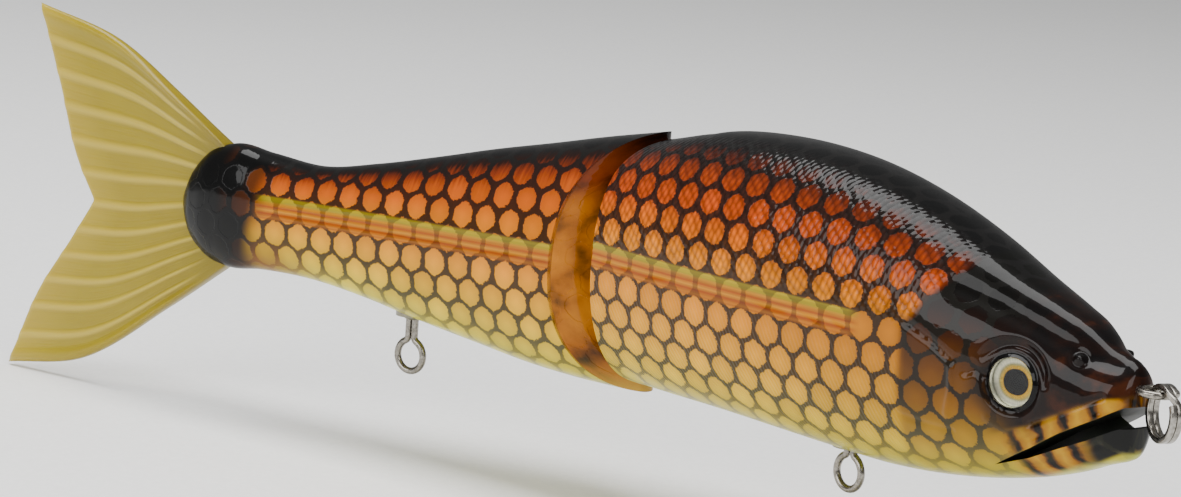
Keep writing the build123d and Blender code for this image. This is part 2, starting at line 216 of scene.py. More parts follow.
# moulded details of the head: line in forward, out and up, then width and height
HEAD_BEADS = [
    ([(70.8, 12.1, 3.5), (75.4, 11.6, 1.7), (79.3, 10.9, -0.5)], 0.45, 0.42),
    ([(79.3, 10.9, -0.8), (79.6, 10.8, -4.5), (78.8, 10.7, -8.2)], 0.55, -0.38),
    ([(70.1, 11.4, -10.1), (75, 10.7, -10.6), (79.5, 9.9, -10.7)], 0.40, 0.40),
    ([(81.6, 10.4, -1.6), (83.2, 10.1, -0.9), (85.1, 9.6, -1.8)], 0.7, 0.35),
    ([(85.5, 9.6, -7.6), (88.2, 8.9, -8.6), (91.3, 8.1, -7.7)], 0.55, -0.35),
    ([(91.3, 8.0, -7.7), (97.2, 6.5, -4.6), (102.3, 4.9, -1.6)], 0.42, 0.50),
    ([(77.5, 8.8, 10.0), (84, 7.6, 8.4), (91, 6.2, 6.2), (95, 5.4, 4.9), (99, 4.4, 3.9),
      (103, 2.8, 3.2)], 2.2, 0.75),
    ([(84.9, 8.3, -13.6), (91.8, 7.3, -9.4), (96.4, 6.3, -6.5), (102, 4.6, -3.4)], 0.55, 0.45),
    ([(86, 8.3, -15.3), (92, 6.9, -12.9), (97, 5.6, -10.6), (102, 4.2, -8.2)], 0.5, 0.30),
]
NOSTRIL = (97.9, 4.9, 3.0)
mirrored = np.stack([front_x, np.abs(front_points[..., 1]), front_points[..., 2]], -1)
raised = sum(bead(mirrored, *detail) for detail in HEAD_BEADS)
pit = np.linalg.norm(mirrored - NOSTRIL, axis=-1)
raised += 0.2 * np.exp(-(((pit - 1.25) / 0.35) ** 2)) - 1.1 * np.exp(-((pit / 0.8) ** 2))

# a raised rim round each eye socket
lens_low, lens_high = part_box("eye_lens_left")
EYE = np.array((lens_low + lens_high) / 2) / MM - HINGE
EYE_TURN = math.radians(12)
gaze = np.array([math.sin(EYE_TURN), math.cos(EYE_TURN), 0])
beside = mirrored - EYE
eye_gap = np.linalg.norm(beside - (beside @ gaze)[..., None] * gaze, axis=-1)
near_eye = front_x > 82
near_eye_wide = step(front_x, 76, 84)
raised += near_eye * 0.6 * np.exp(-(((eye_gap - 4.15) / 0.5) ** 2))
# and a heavy lid over it, thickest above and ahead
lid_turn = np.degrees(np.arctan2(beside[..., 2], beside[..., 0]))
lid = step(lid_turn, -5, 30) * (1 - step(lid_turn, 125, 165))
raised += near_eye * lid * 0.95 * np.exp(-(((eye_gap - 5.35) / 0.75) ** 2))

# the lateral line: three fine ribs that die out before the gill plate
rib_fade = 1 - step(front_x, 58, 64)
for centre, height in ((0.8, 0.14), (0.0, 0.20), (-0.8, 0.14)):
    raised += rib_fade * height * np.exp(-(((climb[:, :-1] - centre) / 0.3) ** 2))
front_points += outward(front_points) * raised[..., None]

# the flat rear face, and the nose drawn in to a blunt point
face_rings = []
for part in (0.0, 0.4, 0.75, 0.93, 0.985):
    ring = front_points[0] * [1, part, 1]
    ring[:, 2] = 0.5 + (front_points[0, :, 2] - 0.5) * part
    ring[:, 0] = FRONT_FACE + (front_points[0, :, 0] - FRONT_FACE) * part**4
    face_rings.append(ring)
face_rings = np.array(face_rings)
nose_middle = front_points[-1].mean(0)
nose_rings = np.array([
    nose_middle + (front_points[-1] - nose_middle) * part + [push, 0, 0]
    for part, push in ((0.85, 0.1), (0.5, 0.17), (0.2, 0.2), (0.0, 0.2))
])


def pad(values, before, after):
    """Repeat the first and last rows for the rings that close the ends."""
    return np.concatenate([values[:1]] * before + [values] + [values[-1:]] * after)


ends = (len(face_rings), len(nose_rings))
front_all = np.concatenate([face_rings, front_points, nose_rings])
net_map = pad(np.stack([np.pad(front_x, ((0, 0), (0, 1)), "wrap"), climb], -1), *ends)
place_map = pad(np.stack([np.pad(front_x, ((0, 0), (0, 1)), "wrap"), share], -1), *ends)
all_x, all_z = front_all[..., 0], front_all[..., 2]
on_head = step(all_x - 0.75 * np.clip(all_z - 3, 0, 12), 69.2, 71.2)
# where the painter's zones of the head meet: the maxilla ridge and the two lips
ridge_up = all_z - np.interp(all_x, [84, 91.3, 97.2, 102.3, 106],
                                  [-10.5, -7.7, -4.6, -1.9, -1.1])
upper_up = all_z - np.interp(all_x, [84.9, 91.8, 96.4, 102, 105],
                                  [-14.5, -10.6, -7.7, -4.6, -2.6])
lower_up = all_z - np.interp(all_x, [86, 91, 96.1, 100.5, 104.6],
                                  [-14.8, -12.3, -9.9, -7.9, -5.6])
upper_lip = step(all_x, 86, 90) * step(upper_up, -0.3, 0.3) * (1 - step(ridge_up, -0.3, 0.3))
snout = step(all_x, 84, 91) * step(ridge_up, -0.3, 0.6)
lower_jaw = (step(all_x, 87, 91) * (1 - step(lower_up, 0.5, 1.1))
             * step(lower_up, -3.6, -2.6))
jaw_tip = (step(all_x, 98.5, 101.5) * (1 - step(lower_up, 0.8, 1.4))
           * step(lower_up, -3.9, -3.1))
front_marks = {
    "head": on_head, "lip": upper_lip, "snout": snout,
    "jaw": lower_jaw, "jaw_tip": jaw_tip,
    # socket: near-black painted shade at the eye socket rim; eye_shade: painted shade spreading
    # wide round the eye
    "socket": pad(near_eye * np.exp(-((np.clip(eye_gap - 3.6, 0, 9) / 0.7) ** 2)), *ends),
    "eye_shade": pad(near_eye_wide * np.exp(-((np.clip(eye_gap - 3.8, 0, 30) / 3.2) ** 2)),
                     *ends),
    "rear_face": pad(np.zeros_like(front_x), *ends),
}
front_marks["rear_face"][: ends[0]] = 1.0
front_skin = sleeve("front_section_skin", front_all + HINGE,
                    {"net": net_map, "place": place_map}, front_marks)

# the mouth, which is open right through ahead and closed by a core further back, and the
# two eye sockets
MOUTH = [
    (84.9, -14.5), (91.8, -10.6), (96.4, -7.7), (102.0, -4.6), (105.0, -2.6),
    (108.0, -2.2), (108.0, -5.4), (104.6, -5.6), (100.5, -7.9), (96.1, -9.9), (91.0, -12.3),
]
SOCKET_R = 3.55
MOUTH_CORE = 2.0
MOUTH_OPEN_FROM = 101.0


def mouth_cutter(side):
    """Half of the mouth: it leaves a core in the middle, and opens right through ahead."""
    outside = [(x, side * 20, z) for x, z in MOUTH]
    inside = [(x, side * (MOUTH_CORE if x < MOUTH_OPEN_FROM else -0.05), z) for x, z in MOUTH]
    bpy.ops.object.select_all(action="DESELECT")
    bpy.ops.mesh.primitive_cylinder_add(vertices=len(MOUTH), radius=1, depth=1)
    made = bpy.context.object
    order = np.argsort([v.co.z for v in made.data.vertices], kind="stable")
    places = np.zeros((len(order), 3))
    places[order] = np.array(outside + inside)
    made.data.vertices.foreach_set("co", ((places + HINGE) * MM).ravel())
    bpy.ops.object.mode_set(mode="EDIT")
    bpy.ops.mesh.select_all(action="SELECT")
    bpy.ops.mesh.quads_convert_to_tris()
    bpy.ops.mesh.normals_make_consistent(inside=False)
    bpy.ops.object.mode_set(mode="OBJECT")
    return made


def add(tree, kind, inputs=None, stops=(), **settings):
    """Add a shader node with its settings, its inputs as values or links, and the stops
    of a colour ramp."""
    made = tree.nodes.new("ShaderNode" + kind)
    for name, value in settings.items():
        setattr(made, name, value)
    for place, colour in stops[2:]:
        made.color_ramp.elements.new(place)
    for number, (place, colour) in enumerate(stops):
        made.color_ramp.elements[number].position = place
        made.color_ramp.elements[number].color = paint(colour)
    for key, value in (inputs or {}).items():
        source = value.outputs[0] if isinstance(value, bpy.types.Node) else value
        if isinstance(source, bpy.types.NodeSocket):
            tree.links.new(source, made.inputs[key])
        else:
            made.inputs[key].default_value = source
    return made


def paint(hex_colour):
    """An sRGB hex colour as linear values."""
    parts = [int(hex_colour[i:i + 2], 16) / 255 for i in (1, 3, 5)]
    return [p / 12.92 if p <= 0.04045 else ((p + 0.055) / 1.055) ** 2.4 for p in parts] + [1]


def new_material(name):
    """An empty material and the principled shader that ends it."""
    made = bpy.data.materials.new(name)
    made.use_nodes = True
    tree = made.node_tree
    tree.nodes.clear()
    shader = add(tree, "BsdfPrincipled")
    add(tree, "OutputMaterial", {"Surface": shader})
    return made, tree, shader


def dress(piece, material):
    """Give a piece one material all over."""
    piece.data.materials.clear()
    piece.data.materials.append(material)


# Airbrushed scale coat under dipped clear lacquer on ABS: opaque colours fade from black
# back to cream belly, a black net is sprayed through a stencil, and the lacquer over it
# all gives one deep gloss. Scale embossing on the front section is moulded in the shell.
CELL_PITCH = 5.25
CELL_ROW = 4.15
LACQUER_IOR = 1.42
BAND_HALF = 2.1
BAR_HALF = 2.3
# sprayed colours from the belly (0) through the lateral line (0.5) to the back (1)
BELLY_TO_BACK_FRONT = [
    (0.0, "#CFD256"), (0.1, "#C2B932"), (0.21, "#CCA712"), (0.32, "#D09202"), (0.44, "#CC7E01"),
    (0.55, "#C37303"), (0.62, "#B65804"), (0.69, "#A03C04"), (0.76, "#853008"),
    (0.82, "#4C1A08"), (0.87, "#0C0302"), (0.92, "#020202"), (1.0, "#010101"),
]
BELLY_TO_BACK_REAR = [
    (0.0, "#CCCF53"), (0.09, "#C7C139"), (0.21, "#C8A90C"), (0.35, "#D29402"), (0.46, "#CE7A01"),
    (0.57, "#C26C03"), (0.66, "#B45204"), (0.73, "#984008"), (0.785, "#6A260A"),
    (0.84, "#1C0701"), (0.89, "#020202"), (1.0, "#010101"),
]
THROAT_TO_HEAD = [
    (0.0, "#C8CD50"), (0.11, "#C2AF26"), (0.225, "#A67E07"), (0.33, "#815202"),
    (0.43, "#5B3301"), (0.53, "#391801"), (0.62, "#180500"), (0.7, "#040200"), (1.0, "#020200"),
]
# the lateral band, from its lower edge (0) to its upper edge (1)
LATERAL_BAND = [
    (0.0, "#8A3A02"), (0.119, "#B06808"), (0.262, "#8E3C02"), (0.393, "#BA7A12"),
    (0.524, "#964404"), (0.667, "#B07408"), (0.762, "#948002"), (0.905, "#A89004"),
    (1.0, "#504A00"),
]


def scale_coat(name, belly_to_back, band_middle, band_half, titles):
    """The painted and lacquered skin of one section, with the painter's zones in titles."""
    made, tree, shader = new_material(name)
    front = "head" in titles
    net_uv = add(tree, "UVMap", uv_map="net")
    true_net = add(tree, "SeparateXYZ", {0: net_uv})
    climb = true_net.outputs[1]
    place = add(tree, "SeparateXYZ", {0: add(tree, "UVMap", uv_map="place")})
    skin_x, share = place.outputs[0], place.outputs[1]
    up_the_side = add(tree, "MapRange", {"Value": share, "From Min": -1, "From Max": 1})
    marks = {
        title: add(tree, "Attribute", attribute_name=title).outputs["Fac"] for title in titles
    }

    # soft zones: what each is measured along, where it starts and where it is full
    from_line = add(tree, "Math", {0: climb}, operation="ABSOLUTE")
    from_middle = add(tree, "Math", {0: skin_x, 1: band_middle}, operation="SUBTRACT")
    from_middle = add(tree, "Math", {0: from_middle}, operation="ABSOLUTE")
    soft_zones = [
        ("thin_net", share, -0.1, 0.12), ("streaked", share, 0.3, 0.5),
        ("band_height", from_line, 2.15, 1.75),
        ("band_length", from_middle, band_half, band_half - 3), ("flank", share, 0.62, 0.45),
    ]
    if front:
        soft_zones += [
            ("low_snout", share, 0.3, 0.05), ("socket", marks["socket"], 0.15, 0.6),
            ("diamonds_from", share, 0.05, 0.12), ("diamonds_to", share, 0.86, 0.78),
            ("ribbed", share, -0.04, -0.12),
        ]
    else:
        soft_zones += [
            ("low_bevel", share, -0.55, -0.9), ("underside", share, -0.25, -0.75),
            ("aft", skin_x, -56, -76), ("cap_front", skin_x, -85, -77),
        ]
    zones = {
        title: add(tree, "MapRange", {"Value": along, "From Min": start, "From Max": full},
                   interpolation_type="SMOOTHSTEP").outputs[0]
        for title, along, start, full in soft_zones
    }

    # the stencil's cut edge wanders a little
    wander = add(tree, "TexNoise", {"Vector": net_uv, "Scale": 0.8, "Detail": 3.0})
    shift = add(tree, "VectorMath", {0: wander.outputs["Color"], 1: (0.5, 0.5, 0.5)},
                operation="SUBTRACT")
    shift = add(tree, "VectorMath", {0: shift, "Scale": 0.9}, operation="SCALE")
    sprayed = add(tree, "VectorMath", {0: net_uv, 1: shift}, operation="ADD")
    net = add(tree, "SeparateXYZ", {0: sprayed})
    # two grids of cells, staggered by half a pitch, and the nearer centre of the two
    cells = []
    for offset_x, offset_y in ((0, 0), (CELL_PITCH / 2, CELL_ROW)):
        x = add(tree, "Math", {0: net.outputs[0], 1: offset_x}, operation="ADD")
        y = add(tree, "Math", {0: net.outputs[1], 1: offset_y}, operation="ADD")
        local_x = add(tree, "Math", {0: x, 1: CELL_PITCH / 2, 2: -CELL_PITCH / 2},
                      operation="WRAP")
        local_y = add(tree, "Math", {0: y, 1: CELL_ROW, 2: -CELL_ROW}, operation="WRAP")
        local = add(tree, "CombineXYZ", {0: local_x, 1: local_y})
        centre = add(tree, "VectorMath", {0: sprayed, 1: local}, operation="SUBTRACT")
        reach = add(tree, "VectorMath", {0: local}, operation="LENGTH")
        cells.append((local, centre, reach.outputs["Value"]))
    (local, centre, reach), (local_2, centre_2, reach_2) = cells
    nearer = add(tree, "Math", {0: reach_2, 1: reach}, operation="LESS_THAN")
    local = add(tree, "Mix", {0: nearer, 4: local, 5: local_2}, data_type="VECTOR").outputs[1]
    centre = add(tree, "Mix", {0: nearer, 4: centre, 5: centre_2}, data_type="VECTOR").outputs[1]
    local = add(tree, "VectorMath", {0: local}, operation="ABSOLUTE")
    local = add(tree, "SeparateXYZ", {0: local})
    across, up = local.outputs[0], local.outputs[1]

    # the outline of a scale, between a hexagon and a circle
    side_wall = add(tree, "Math", {0: across, 1: CELL_PITCH / 2}, operation="DIVIDE")
    slant = (CELL_PITCH**2 / 4 + CELL_ROW**2) / 2
    leaning = add(tree, "Math", {0: up, 1: CELL_ROW / slant}, operation="MULTIPLY")
    leaning = add(tree, "Math", {0: across, 1: CELL_PITCH / 2 / slant, 2: leaning},
                  operation="MULTIPLY_ADD")
    hexagon = add(tree, "Math", {0: side_wall, 1: leaning}, operation="MAXIMUM")
    roundness = add(tree, "Math", {0: reach, 1: reach_2}, operation="MINIMUM")
    roundness = add(tree, "Math", {0: roundness, 1: CELL_PITCH / 2}, operation="DIVIDE")
    outline = add(tree, "Math", {0: roundness, 1: 0.55}, operation="MULTIPLY")
    outline = add(tree, "Math", {0: hexagon, 1: 0.45, 2: outline}, operation="MULTIPLY_ADD")

    # the net has ragged edges, thins below the lateral line and is lost in the belly
    threshold = add(tree, "MapRange", {"Value": zones["thin_net"], "To Min": 0.81,
                                       "To Max": 0.755})
    speckle = add(tree, "TexNoise", {"Vector": net_uv, "Scale": 3.2, "Detail": 2.0})
    line = add(tree, "Math", {0: speckle, 1: 0.22, 2: -0.11}, operation="MULTIPLY_ADD")
    line = add(tree, "Math", {0: line, 1: outline}, operation="ADD")
    line = add(tree, "Math", {0: line, 1: threshold}, operation="SUBTRACT")
    line = add(tree, "MapRange", {"Value": line, "From Min": -0.015, "From Max": 0.055},
               interpolation_type="SMOOTHSTEP")
    strength = add(tree, "MapRange", {"Value": share, "From Min": -0.95, "From Max": -0.55,
                                      "To Min": 0.12, "To Max": 0.93})
    line = add(tree, "Math", {0: line, 1: strength}, operation="MULTIPLY")

    # fades from belly to back, broken into fine upright streaks near the back
    base = add(tree, "ValToRGB", {"Fac": up_the_side}, stops=belly_to_back)
    streak_uv = add(tree, "Mapping", {"Vector": net_uv, "Scale": (1.7, 0.12, 1)})
    streak = add(tree, "TexNoise", {"Vector": streak_uv, "Scale": 1.0, "Detail": 4.0,
                                    "Roughness": 0.6})
    streak = add(tree, "Math", {0: streak, 1: 0.22, 2: -0.11}, operation="MULTIPLY_ADD")
    streak = add(tree, "Math", {0: streak, 1: share}, operation="ADD")
    streak = add(tree, "MapRange", {"Value": streak, "From Min": -1, "From Max": 1})
    streaks = add(tree, "ValToRGB", {"Fac": streak}, stops=belly_to_back)
    base = add(tree, "Mix", {0: zones["streaked"], 6: base, 7: streaks},
               data_type="RGBA").outputs[2]

    # each scale's own tone, with a paler middle, darker towards the head
    own = add(tree, "VectorMath", {0: centre, 1: (0.5, 0.5, 0.5)}, operation="SNAP")
    own = add(tree, "TexWhiteNoise", {"Vector": own}, noise_dimensions="2D")
    tone = add(tree, "MapRange", {"Value": own, "To Min": 0.84, "To Max": 1.12})
    middle = add(tree, "MapRange", {"Value": roundness, "From Min": 0.1, "From Max": 0.8,
                                    "To Min": 1.10, "To Max": 0.90})
    tone = add(tree, "Math", {0: tone, 1: middle}, operation="MULTIPLY")
    if front:
        darker = add(tree, "MapRange", {"Value": skin_x, "From Min": 35, "From Max": 62,
                                        "To Min": 1.0, "To Max": 0.76})
        tone = add(tree, "Math", {0: tone, 1: darker}, operation="MULTIPLY")
    scales = add(tree, "HueSaturation", {"Color": base, "Value": tone})

    # the lateral band runs over the net, which shows faintly through it
    band_up = add(tree, "MapRange", {"Value": climb, "From Min": -BAND_HALF,
                                     "From Max": BAND_HALF})
    band = add(tree, "ValToRGB", {"Fac": band_up}, stops=LATERAL_BAND)
    grain_uv = add(tree, "Mapping", {"Vector": net_uv, "Scale": (0.05, 2.6, 1)})
    grain = add(tree, "TexNoise", {"Vector": grain_uv, "Scale": 1.0, "Detail": 3.0})
    grain = add(tree, "Math", {0: grain, 1: 0.7, 2: 0.62}, operation="MULTIPLY_ADD")
    band = add(tree, "HueSaturation", {"Color": band, "Value": grain})
    in_band = add(tree, "Math", {0: zones["band_height"], 1: zones["band_length"]},
                  operation="MULTIPLY")
    colour = add(tree, "Mix", {0: in_band, 6: scales, 7: band}, data_type="RGBA").outputs[2]
    through_band = add(tree, "MapRange", {"Value": in_band, "To Min": 1.0, "To Max": 0.55})
    line = add(tree, "Math", {0: line, 1: through_band}, operation="MULTIPLY")
    net_colour = add(tree, "ValToRGB", {"Fac": up_the_side}, stops=[
        (0.0, "#77764E"), (0.15, "#3A3A20"), (0.35, "#14120C"), (1.0, "#0B0A0A")])

    # what is painted under the net, each as its zone and its colour, then over the net
    under, over = [], []
    if front:
        cheek = add(tree, "ValToRGB", {"Fac": up_the_side}, stops=THROAT_TO_HEAD)
        cheek = add(tree, "HueSaturation", {"Color": cheek, "Value": tone})
        # the snout is near black with dark amber showing through in patches
        patchy = add(tree, "TexNoise", {"Vector": net_uv, "Scale": 0.3, "Detail": 4.0})
        patchy = add(tree, "Math", {0: zones["low_snout"], 1: 0.12, 2: patchy},
                     operation="MULTIPLY_ADD")
        snout = add(tree, "ValToRGB", {"Fac": patchy}, stops=[
            (0.4, "#040202"), (0.62, "#120502"), (0.78, "#321404")])
        # both lips are amber with uneven dark bars
        jitter = add(tree, "TexNoise", {"Vector": net_uv, "Scale": 0.5, "Detail": 2.0})
        bar_at = add(tree, "Math", {0: climb, 1: 0.25, 2: skin_x}, operation="MULTIPLY_ADD")
        bar_at = add(tree, "Math", {0: jitter, 1: 2.2, 2: bar_at}, operation="MULTIPLY_ADD")
        bar = add(tree, "Math", {0: bar_at, 1: BAR_HALF, 2: -BAR_HALF}, operation="WRAP")
        bar = add(tree, "Math", {0: bar}, operation="ABSOLUTE")
        bar = add(tree, "Math", {0: bar, 1: BAR_HALF}, operation="DIVIDE")
        amber = add(tree, "ValToRGB", {"Fac": bar}, stops=[
            (0.13, "#080402"), (0.326, "#5A3404"), (0.478, "#8E5C06"), (0.957, "#A67A0C")])
        under = [(marks["head"], cheek), (marks["snout"], snout), (marks["jaw"], amber),
                 (marks["lip"], amber), (marks["jaw_tip"], paint("#060604"))]
        # the net stops at the snout and the lips, and is faint on the lower jaw
        bare = add(tree, "Math", {0: marks["snout"], 1: marks["lip"]}, operation="ADD")
        bare = add(tree, "Math", {0: marks["jaw"], 1: 0.8, 2: bare}, operation="MULTIPLY_ADD",
                   use_clamp=True)
        netted = add(tree, "Math", {0: 1.0, 1: bare}, operation="SUBTRACT")
        line = add(tree, "Math", {0: line, 1: netted}, operation="MULTIPLY")
        # painted shade round the eye, and near-black painted shade at the socket rim
        shade = add(tree, "Math", {0: marks["eye_shade"], 1: 0.85}, operation="MULTIPLY")
        face_cloud = add(tree, "TexNoise", {"Vector": net_uv, "Scale": 0.4})
        face = add(tree, "ValToRGB", {"Fac": face_cloud}, stops=[
            (0.3, "#8A5216"), (0.7, "#6A3A12")])
        over = [(shade, paint("#0E0503")), (zones["socket"], paint("#030202")),
                (marks["rear_face"], face)]
    else:
        # the bevel at the joint: rusty amber with paler blots, dark at the top
        blots = add(tree, "TexVoronoi", {"Vector": net_uv, "Scale": 0.2, "Smoothness": 0.3},
                    feature="SMOOTH_F1")
        cloud = add(tree, "TexNoise", {"Vector": net_uv, "Scale": 0.45, "Detail": 5.0})
        cloud = add(tree, "Math", {0: cloud, 1: 0.7, 2: -0.35}, operation="MULTIPLY_ADD")
        blotched = add(tree, "Math", {0: blots.outputs["Distance"], 1: cloud}, operation="ADD")
        rust = add(tree, "ValToRGB", {"Fac": blotched}, stops=[
            (0.1, "#BE760E"), (0.4, "#B06A0A"), (0.6, "#9C5A06"), (0.8, "#6C4006"),
            (0.95, "#2C1C04")])
        rise = add(tree, "ValToRGB", {"Fac": up_the_side}, stops=[
            (0.0, "#D8BE58"), (0.125, "#E0B850"), (0.275, "#FFFFFF"), (0.625, "#F0E8E0"),
            (0.75, "#A87858"), (0.925, "#2C1C12"), (1.0, "#0C0A08")])
        rust = add(tree, "Mix", {0: 1.0, 6: rust, 7: rise}, data_type="RGBA",
                   blend_type="MULTIPLY").outputs[2]
        yellow = add(tree, "Math", {0: zones["low_bevel"], 1: 0.7}, operation="MULTIPLY")
        rust = add(tree, "Mix", {0: yellow, 6: rust, 7: paint("#C9A63C")},
                   data_type="RGBA").outputs[2]
        # rust misted along the underside towards the tail
        mist = add(tree, "Math", {0: zones["aft"], 1: zones["underside"]}, operation="MULTIPLY")
        mist = add(tree, "Math", {0: mist, 1: 0.75}, operation="MULTIPLY")
        # the tail base is black, with a few scales showing through at its front edge
        showing = add(tree, "MapRange", {"Value": own, "From Min": 0.45, "To Max": 0.5})
        inside = add(tree, "Math", {0: 1.0, 1: line}, operation="SUBTRACT")
        ghost = add(tree, "Math", {0: inside, 1: showing}, operation="MULTIPLY")
        ghost = add(tree, "Math", {0: ghost, 1: zones["cap_front"]}, operation="MULTIPLY")
        black = add(tree, "Mix", {0: ghost, 6: paint("#030303"), 7: paint("#6E3406")},
                    data_type="RGBA").outputs[2]
        over = [(marks["bevel"], rust), (mist, paint("#6E2A06")), (marks["tail_base"], black)]
    for zone, coat in under + [(line, net_colour)] + over:
        colour = add(tree, "Mix", {0: zone, 6: colour, 7: coat}, data_type="RGBA").outputs[2]

    # relief: the net stands a little proud, and the front section is embossed under it
    height = add(tree, "Math", {0: line, 1: 0.3}, operation="MULTIPLY")
    height = add(tree, "Math", {0: height, 1: zones["flank"]}, operation="MULTIPLY")
    if front:
        smooth_head = add(tree, "Math", {0: marks["head"], 1: -0.75, 2: 1.0},
                          operation="MULTIPLY_ADD")
        height = add(tree, "Math", {0: height, 1: smooth_head}, operation="MULTIPLY")
        diamond_uv = add(tree, "Mapping", {"Vector": net_uv, "Scale": (1.05, 0.66, 1),
                                           "Rotation": (0, 0, 0.5)})
        diamond = add(tree, "TexVoronoi", {"Vector": diamond_uv, "Scale": 1.0,
                                           "Randomness": 0.3})
        diamond = add(tree, "Math", {0: diamond.outputs["Distance"], 1: -1.55, 2: 1.0},
                      operation="MULTIPLY_ADD", use_clamp=True)
        # fine slanting ribs below the lateral line
        rib = add(tree, "Math", {0: climb, 1: 4.0}, operation="MULTIPLY")
        rib = add(tree, "Math", {0: true_net.outputs[0], 1: 8.0, 2: rib},
                  operation="MULTIPLY_ADD")
        rib = add(tree, "Math", {0: rib}, operation="SINE")
        rib = add(tree, "Math", {0: rib, 1: 0.25, 2: 0.25}, operation="MULTIPLY_ADD")
        rib = add(tree, "Math", {0: rib, 1: zones["ribbed"]}, operation="MULTIPLY")
        plain = add(tree, "Math", {0: marks["head"], 1: marks["rear_face"]}, operation="ADD",
                    use_clamp=True)
        clear = add(tree, "Math", {0: 1.0, 1: plain}, operation="SUBTRACT")
        on_flank = add(tree, "Math", {0: zones["diamonds_from"], 1: zones["diamonds_to"]},
                       operation="MULTIPLY")
        emboss = add(tree, "Math", {0: diamond, 1: on_flank, 2: rib}, operation="MULTIPLY_ADD")
        height = add(tree, "Math", {0: emboss, 1: clear, 2: height}, operation="MULTIPLY_ADD")
        # painted highlight on the tops of the diamonds and painted shade between them
        relief_light_shade = add(tree, "Math", {0: diamond, 1: 1.1, 2: -0.44}, operation="MULTIPLY_ADD")
        relief_light_shade = add(tree, "Math", {0: relief_light_shade, 1: on_flank}, operation="MULTIPLY")
        relief_light_shade = add(tree, "Math", {0: relief_light_shade, 1: clear, 2: 1.0}, operation="MULTIPLY_ADD")
        colour = add(tree, "HueSaturation", {"Color": colour, "Value": relief_light_shade}).outputs[0]
    relief = add(tree, "Bump", {"Height": height, "Distance": 0.00016, "Strength": 1.0})

    # the lacquer half fills the relief, and has a faint orange peel of its own
    orange_peel = add(tree, "TexNoise", {"Vector": net_uv, "Scale": 0.5, "Detail": 1.0})
    gloss = add(tree, "Math", {0: orange_peel, 1: 0.25}, operation="MULTIPLY")
    gloss = add(tree, "Math", {0: height, 1: 0.55, 2: gloss}, operation="MULTIPLY_ADD")
    gloss = add(tree, "Bump", {"Height": gloss, "Distance": 0.00013, "Strength": 1.0})
    flake = add(tree, "TexVoronoi", {"Vector": net_uv, "Scale": 8.0})
    rough = add(tree, "MapRange", {"Value": flake.outputs["Distance"], "To Min": 0.34,
                                   "To Max": 0.5})
    for socket, source in (("Base Color", colour), ("Roughness", rough.outputs[0]),
                           ("Normal", relief.outputs[0]), ("Coat Normal", gloss.outputs[0])):
        tree.links.new(source, shader.inputs[socket])
    shader.inputs["IOR"].default_value = LACQUER_IOR
    shader.inputs["Specular IOR Level"].default_value = 0.05
    shader.inputs["Coat Weight"].default_value = 0.42
    shader.inputs["Coat Roughness"].default_value = 0.035
    shader.inputs["Coat IOR"].default_value = LACQUER_IOR
    return made


front_coat = scale_coat("airbrushed_scale_coat_front", BELLY_TO_BACK_FRONT, 20, 43, front_marks)
dress(front_skin, front_coat)

# Inside the mouth: near-black green with olive patches; the near black is painted shade of the
# mouth cavity
mouth_painted_shade, tree, shader = new_material("mouth_cavity_painted_shade")
mouth_at = add(tree, "TexCoord")
mouth_cloud = add(tree, "TexNoise", {"Vector": mouth_at.outputs["Object"], "Scale": 350.0})
mouth_shade_tint = add(
    tree, "ValToRGB", {"Fac": mouth_cloud},
    stops=[(0.35, "#050603"), (0.6, "#0C1006"), (0.85, "#262806")],
)
tree.links.new(mouth_shade_tint.outputs[0], shader.inputs["Base Color"])
shader.inputs["Roughness"].default_value = 0.5
shader.inputs["Specular IOR Level"].default_value = 0.25
for side in (1, -1):
    half_mouth = mouth_cutter(side)
    dress(half_mouth, mouth_painted_shade)
    cut(front_skin, half_mouth)

# The socket walls round each eye: near black, painted shade of the deep gap between the eye and
# the rim
socket_wall_shade, tree, shader = new_material("socket_wall_painted_shade")
socket_at = add(tree, "TexCoord")
socket_cloud = add(tree, "TexNoise", {"Vector": socket_at.outputs["Object"], "Scale": 900.0})
socket_shade_tint = add(
    tree, "ValToRGB", {"Fac": socket_cloud}, stops=[(0.3, "#0A0909"), (0.7, "#1B130D")],
)
tree.links.new(socket_shade_tint.outputs[0], shader.inputs["Base Color"])
shader.inputs["Roughness"].default_value = 0.35
for side in (1, -1):
    look = Vector((math.sin(EYE_TURN), side * math.cos(EYE_TURN), 0))
    iris_low, iris_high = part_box("eye_iris_left" if side > 0 else "eye_iris_right")
    bottom = (iris_low + iris_high) / 2
    bpy.ops.object.select_all(action="DESELECT")
    bpy.ops.mesh.primitive_cylinder_add(
        vertices=72, radius=SOCKET_R * MM, depth=6 * MM, location=bottom + look * 2.65 * MM,
        rotation=look.to_track_quat("Z", "Y").to_euler(),
    )
    socket_cutter = bpy.context.object
    bpy.ops.object.transform_apply(location=True, rotation=True, scale=True)
    dress(socket_cutter, socket_wall_shade)
    cut(front_skin, socket_cutter)
bpy.ops.object.select_all(action="DESELECT")
front_skin.select_set(True)
bpy.context.view_layer.objects.active = front_skin
bpy.ops.object.shade_smooth_by_angle(angle=math.radians(42))
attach(front_skin, "front_section")
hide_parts("front_shell_left", "front_shell_right")

# ---------------------------------------------------------------------------
# Rear section skin: the same two-part moulding. Its front is a wedge, a rounded nose on
# the hinge axis with a bevel back to each flank, and its back end is a rounded cap that
# grips the soft tail. It is formed straight, then swung to the bend it rests at.

